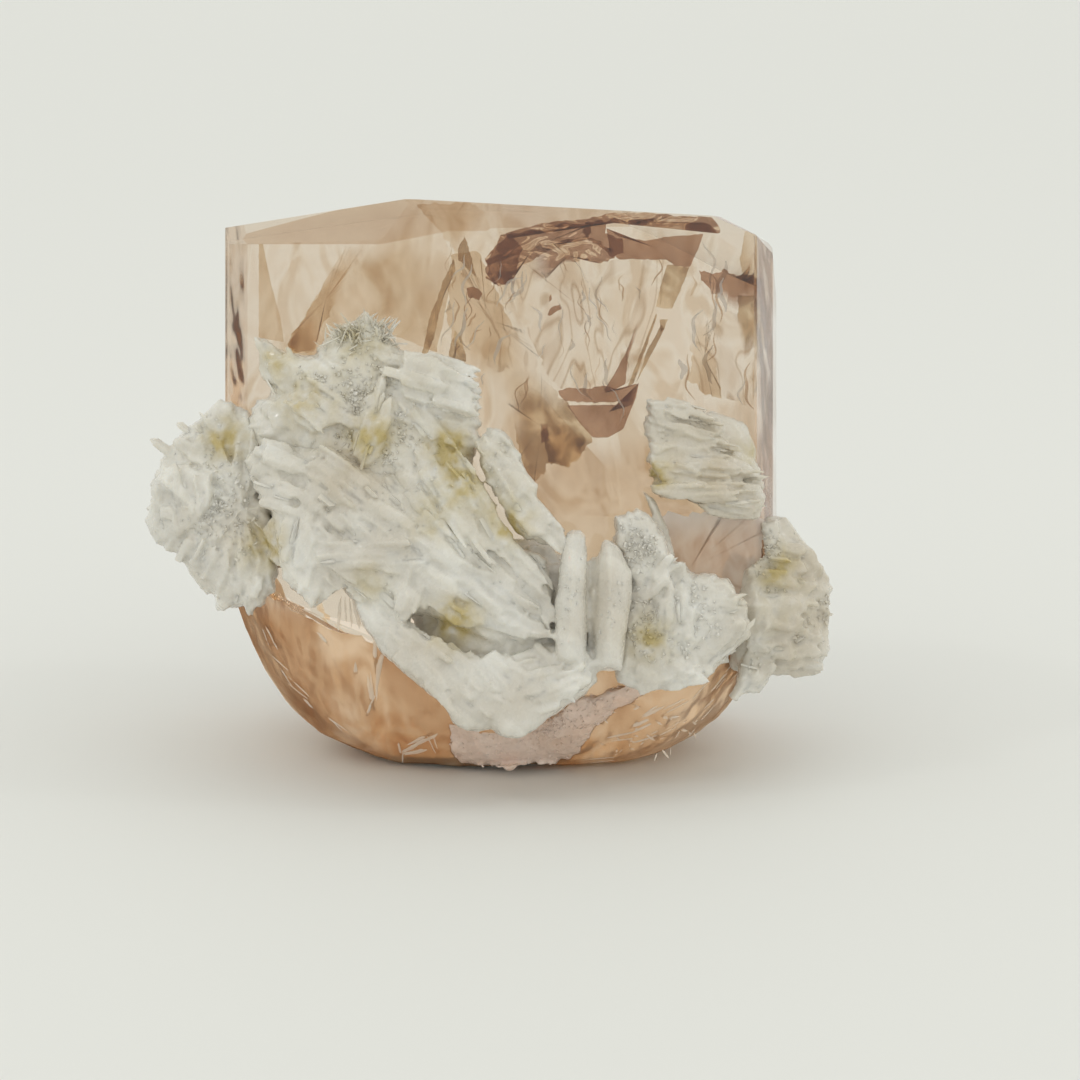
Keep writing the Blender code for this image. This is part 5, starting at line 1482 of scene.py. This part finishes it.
# The upper right fan: nearly level plates on the right front face, arched at the top, the lowest one
# thick and bright.
FAN = (
    ("sheet", "sugar", -10, -13.2, (0.11, 0), 1.6,
     ((11, 27.2), (13.5, 27.1), (16.3, 25.8), (17.9, 24.2), (19.5, 22), (19.8, 19.9), (19.2, 18.5),
      (17.1, 18.4), (15.3, 18.9), (14.2, 19.7), (12.3, 19.9), (11.2, 20.6), (11, 22.8), (10.8, 25.3))),
    ("top", "layers", -14, -14.2, (0.11, 0.3), 0.4,
     ((10.9, 27.1), (12.7, 27.1), (14.8, 26.6), (16.3, 25.7), (16.1, 25.3), (14.5, 25.8), (12.6, 26.1),
      (11.3, 26.3))),
    ("second", "layers", -14, -14.4, (0.11, 0.25), 0.4,
     ((11.3, 25.8), (13.2, 25.5), (15.2, 24.9), (16.5, 24.5), (17.8, 23.3), (16.9, 23.5), (15.2, 24.2),
      (13.2, 24.6), (11.6, 24.9))),
    ("arch", "smooth", -5, -14.7, (0.11, 0.25), 0.8,
     ((11.1, 24), (12.4, 24.3), (14.3, 24.6), (15.8, 24), (17.7, 23), (18.9, 22.2), (19.3, 21.5),
      (17.1, 21.2), (15.2, 21.3), (12, 21.2), (11.3, 22.2))),
    ("arch_low", "smooth", -4, -15.1, (0.11, 0.2), 0.4,
     ((11.6, 22.6), (14.2, 23.1), (16.8, 22.6), (18.6, 21.7), (17.8, 21.2), (15.2, 21.2), (12, 21.2))),
    ("bright", "smooth", 2, -15.5, (0.11, 0.1), 0.9,
     ((11.2, 21), (13.2, 21.2), (15.2, 21.4), (17.8, 21.3), (19.4, 21), (19.8, 19.8), (19.3, 19),
      (17.1, 19.3), (14.6, 19.9), (12.4, 19.9), (11.4, 20.4))),
    ("lip", "smooth", -6, -14.6, (0.11, -0.1), 0.6,
     ((14.5, 19.7), (17.1, 19.3), (19.5, 19.3), (19.2, 18.5), (17.1, 18.4), (15.3, 18.8))),
)
FAN_HEART = ((15.8, -11.8, 22.9), (3.4, 2.0, 3.6))
fan_flakes = flakes(FAN, 8000)
right_fan = grown("right_fan", [
    lump(*FAN_HEART, 21, 0.05),
    *fan_flakes,
    combs(fan_flakes, FAN, ("layers", "smooth", "sugar"), 0.007, 146, (1.5, 4.0), (0.25, 0.6)),
], [
    combs(fan_flakes, FAN, ("layers", "smooth", "sugar"), 0.0025, 147, (1.0, 2.4), (0.12, 0.3)),
    grains(fan_flakes, 200, 144, ("sugar",), FAN, (0.06, 0.2), (0.08, 0.2)),
    grains(fan_flakes, 50, 145, ("smooth", "layers"), FAN, (0.03, 0.08), (0.12, 0.3), 0.5),
], white_albite, 0.11)
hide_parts("albite_upper_right_fan")

# The crust: fine pinkish-white grains that coat the front of the broken base under the prow, thin at its
# ragged edge.
CRUST = ((-3.0, 3.8), (-1.6, 3.1), (0.5, 2.7), (1.6, 2.8), (3.4, 4.0), (5.9, 5.4), (8.4, 6.3), (10.6, 7.0),
         (11.3, 6.2), (8.6, 4.6), (6.9, 3.0), (6.2, 1.6), (4.8, 0.9), (0.5, 0.4), (-1.7, 0.7), (-3.1, 1.7))


def coating(corners, thick, seed):
    """A coat on the bowl's front: a grid of turn and share, lifted off the skin, thin at its ragged rim."""
    steps = int(np.linalg.norm(np.diff(np.asarray(corners + corners[:1]), axis=0), axis=1).sum() / CELL)
    rim = even_outline(corners, steps)
    middle = rim.mean(axis=0)
    rim = rim + 0.25 * np.stack([noise(rim, 0.6, seed) + 0.6 * noise(rim, 0.25, seed + 1),
                                 noise(rim, 0.6, seed + 2) + 0.6 * noise(rim, 0.25, seed + 3)], axis=-1)
    rings = int(np.linalg.norm(rim - middle, axis=1).mean() / CELL)
    share = np.linspace(1.0 / rings, 1.0, rings)[:, None]
    x = middle[0] + (rim[:, 0] - middle[0]) * share
    z = middle[1] + (rim[:, 1] - middle[1]) * share
    lift = thick * np.sqrt(1.0 - share ** 5) * (0.8 + 0.3 * noise(np.stack([x, z], -1), 1.5, seed + 4))
    lift = lift + relief("crust", x, z, 20.0, middle, seed) * np.minimum(1.0, (1.0 - share) * 6.0 + 0.1)
    skin = lie(skin_at(x, z)[0])
    front, back = skin - np.stack([0 * lift, lift, 0 * lift], -1), skin + (0.0, 0.6, 0.0)
    points = np.concatenate([front.reshape(-1, 3), back[::-1].reshape(-1, 3), [front[0].mean(axis=0)],
                             [back[0].mean(axis=0)]])
    turn = 1 if np.cross(rim[0] - middle, rim[1] - middle) > 0 else -1
    return points, shell_faces(2 * rings, steps, turn), np.full(len(points), 0.5)


pink_crust = albite_finish("pink_crust", (0.97, 0.80, 0.70), (0.88, 0.66, 0.53), (0.80, 0.58, 0.44),
                           (0.80, 0.52, 0.30))
crust_coat = coating(CRUST, 0.9, 9000)
crust = grown("grainy_crust", [crust_coat], [
    grains([crust_coat], 500, 154, ("crust",), ((0, "crust"),), (0.04, 0.14), (0.08, 0.2)),
], pink_crust, 0.14)
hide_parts("base_crust")

# The putty: a pad of pale grey mounting putty, pressed flat on the surface with a rounded, slightly
# uneven edge, and the base pushed into its top.
def putty_finish():
    """Dull pale grey putty, faintly cloudy."""
    made, nodes, links, main = shader("grey_putty")
    cloud = texture(nodes, links, "ShaderNodeTexNoise", 260.0, 4.0)
    grey = ramp(nodes, links, cloud.outputs["Fac"], ((0.3, (0.46, 0.46, 0.45)), (0.7, (0.56, 0.55, 0.53))))
    links.new(grey, main.inputs["Base Color"])
    main.inputs["Roughness"].default_value = 0.6
    main.inputs["Subsurface Weight"].default_value = 0.1
    main.inputs["Subsurface Scale"].default_value = 0.0005
    fine = texture(nodes, links, "ShaderNodeTexNoise", 1400.0, 3.0)
    links.new(bump(nodes, links, fine.outputs["Fac"], 0.25, 0.0001), main.inputs["Normal"])
    return made


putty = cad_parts["display_putty"]
putty.data.materials.clear()
putty.data.materials.append(putty_finish())

# The table: a plain pale seamless surface, the soft even light of a white tent, and two small bright
# lamps that give the albite its glints and the two soft lobes of the shadow.
FRAME_WIDE, SENSOR = 77.76, 36.0    # how wide the picture is at the front edge and in the camera, in mm
FLOOR_REACH = 4.0                   # how far the floor reaches to each side, in metres
LAMP_AIM = (0.0, 0.0, 0.02)
BOUNCES = 24                        # how often light may bounce or pass a face

# Each lamp's place and size in metres, and its power.
LAMPS = ((-0.24, -0.10, 0.34, 0.04, 0.055), (0.26, -0.02, 0.30, 0.04, 0.05))

floor_mesh = bpy.data.meshes.new("floor")
floor_corners = [(x * FLOOR_REACH, y * FLOOR_REACH, 0) for x, y in ((-1, -1), (1, -1), (1, 1), (-1, 1))]
floor_mesh.from_pydata(floor_corners, [], [(0, 1, 2, 3)])
floor = linked("floor", floor_mesh)
floor_paint, nodes, links, main = shader("pale_floor")
main.inputs["Base Color"].default_value = (0.80, 0.80, 0.77, 1.0)
main.inputs["Roughness"].default_value = 0.7
floor_mesh.materials.append(floor_paint)

world = bpy.data.worlds.new("tent")
bpy.context.scene.world = world
world.use_nodes = True
world.node_tree.nodes["Background"].inputs["Color"].default_value = (0.97, 0.98, 0.94, 1.0)
world.node_tree.nodes["Background"].inputs["Strength"].default_value = 0.94

for place_x, place_y, place_z, size, energy in LAMPS:
    lamp_data = bpy.data.lights.new("lamp", "AREA")
    lamp_data.size = size
    lamp_data.energy = energy
    lamp = linked("lamp", lamp_data)
    lamp.location = (place_x, place_y, place_z)
    lamp.rotation_euler = (Vector(LAMP_AIM) - lamp.location).to_track_quat("-Z", "Y").to_euler()

camera_data = bpy.data.cameras.new("camera")
camera_data.sensor_width = SENSOR
camera_data.lens = SENSOR * VIEW_FROM / FRAME_WIDE
camera_data.clip_start = 0.01
camera = linked("camera", camera_data)
camera.location = stand([(AXIS_X, FRONT_EDGE - VIEW_FROM, AXIS_Z)])[0]
camera.rotation_euler = (math.radians(90) - LEAN, 0.0, 0.0)
bpy.context.scene.camera = camera
bpy.context.scene.view_settings.view_transform = "Standard"
bpy.context.scene.cycles.use_denoising = True
bpy.context.scene.cycles.max_bounces = BOUNCES
bpy.context.scene.cycles.transmission_bounces = BOUNCES
bpy.context.scene.cycles.glossy_bounces = BOUNCES
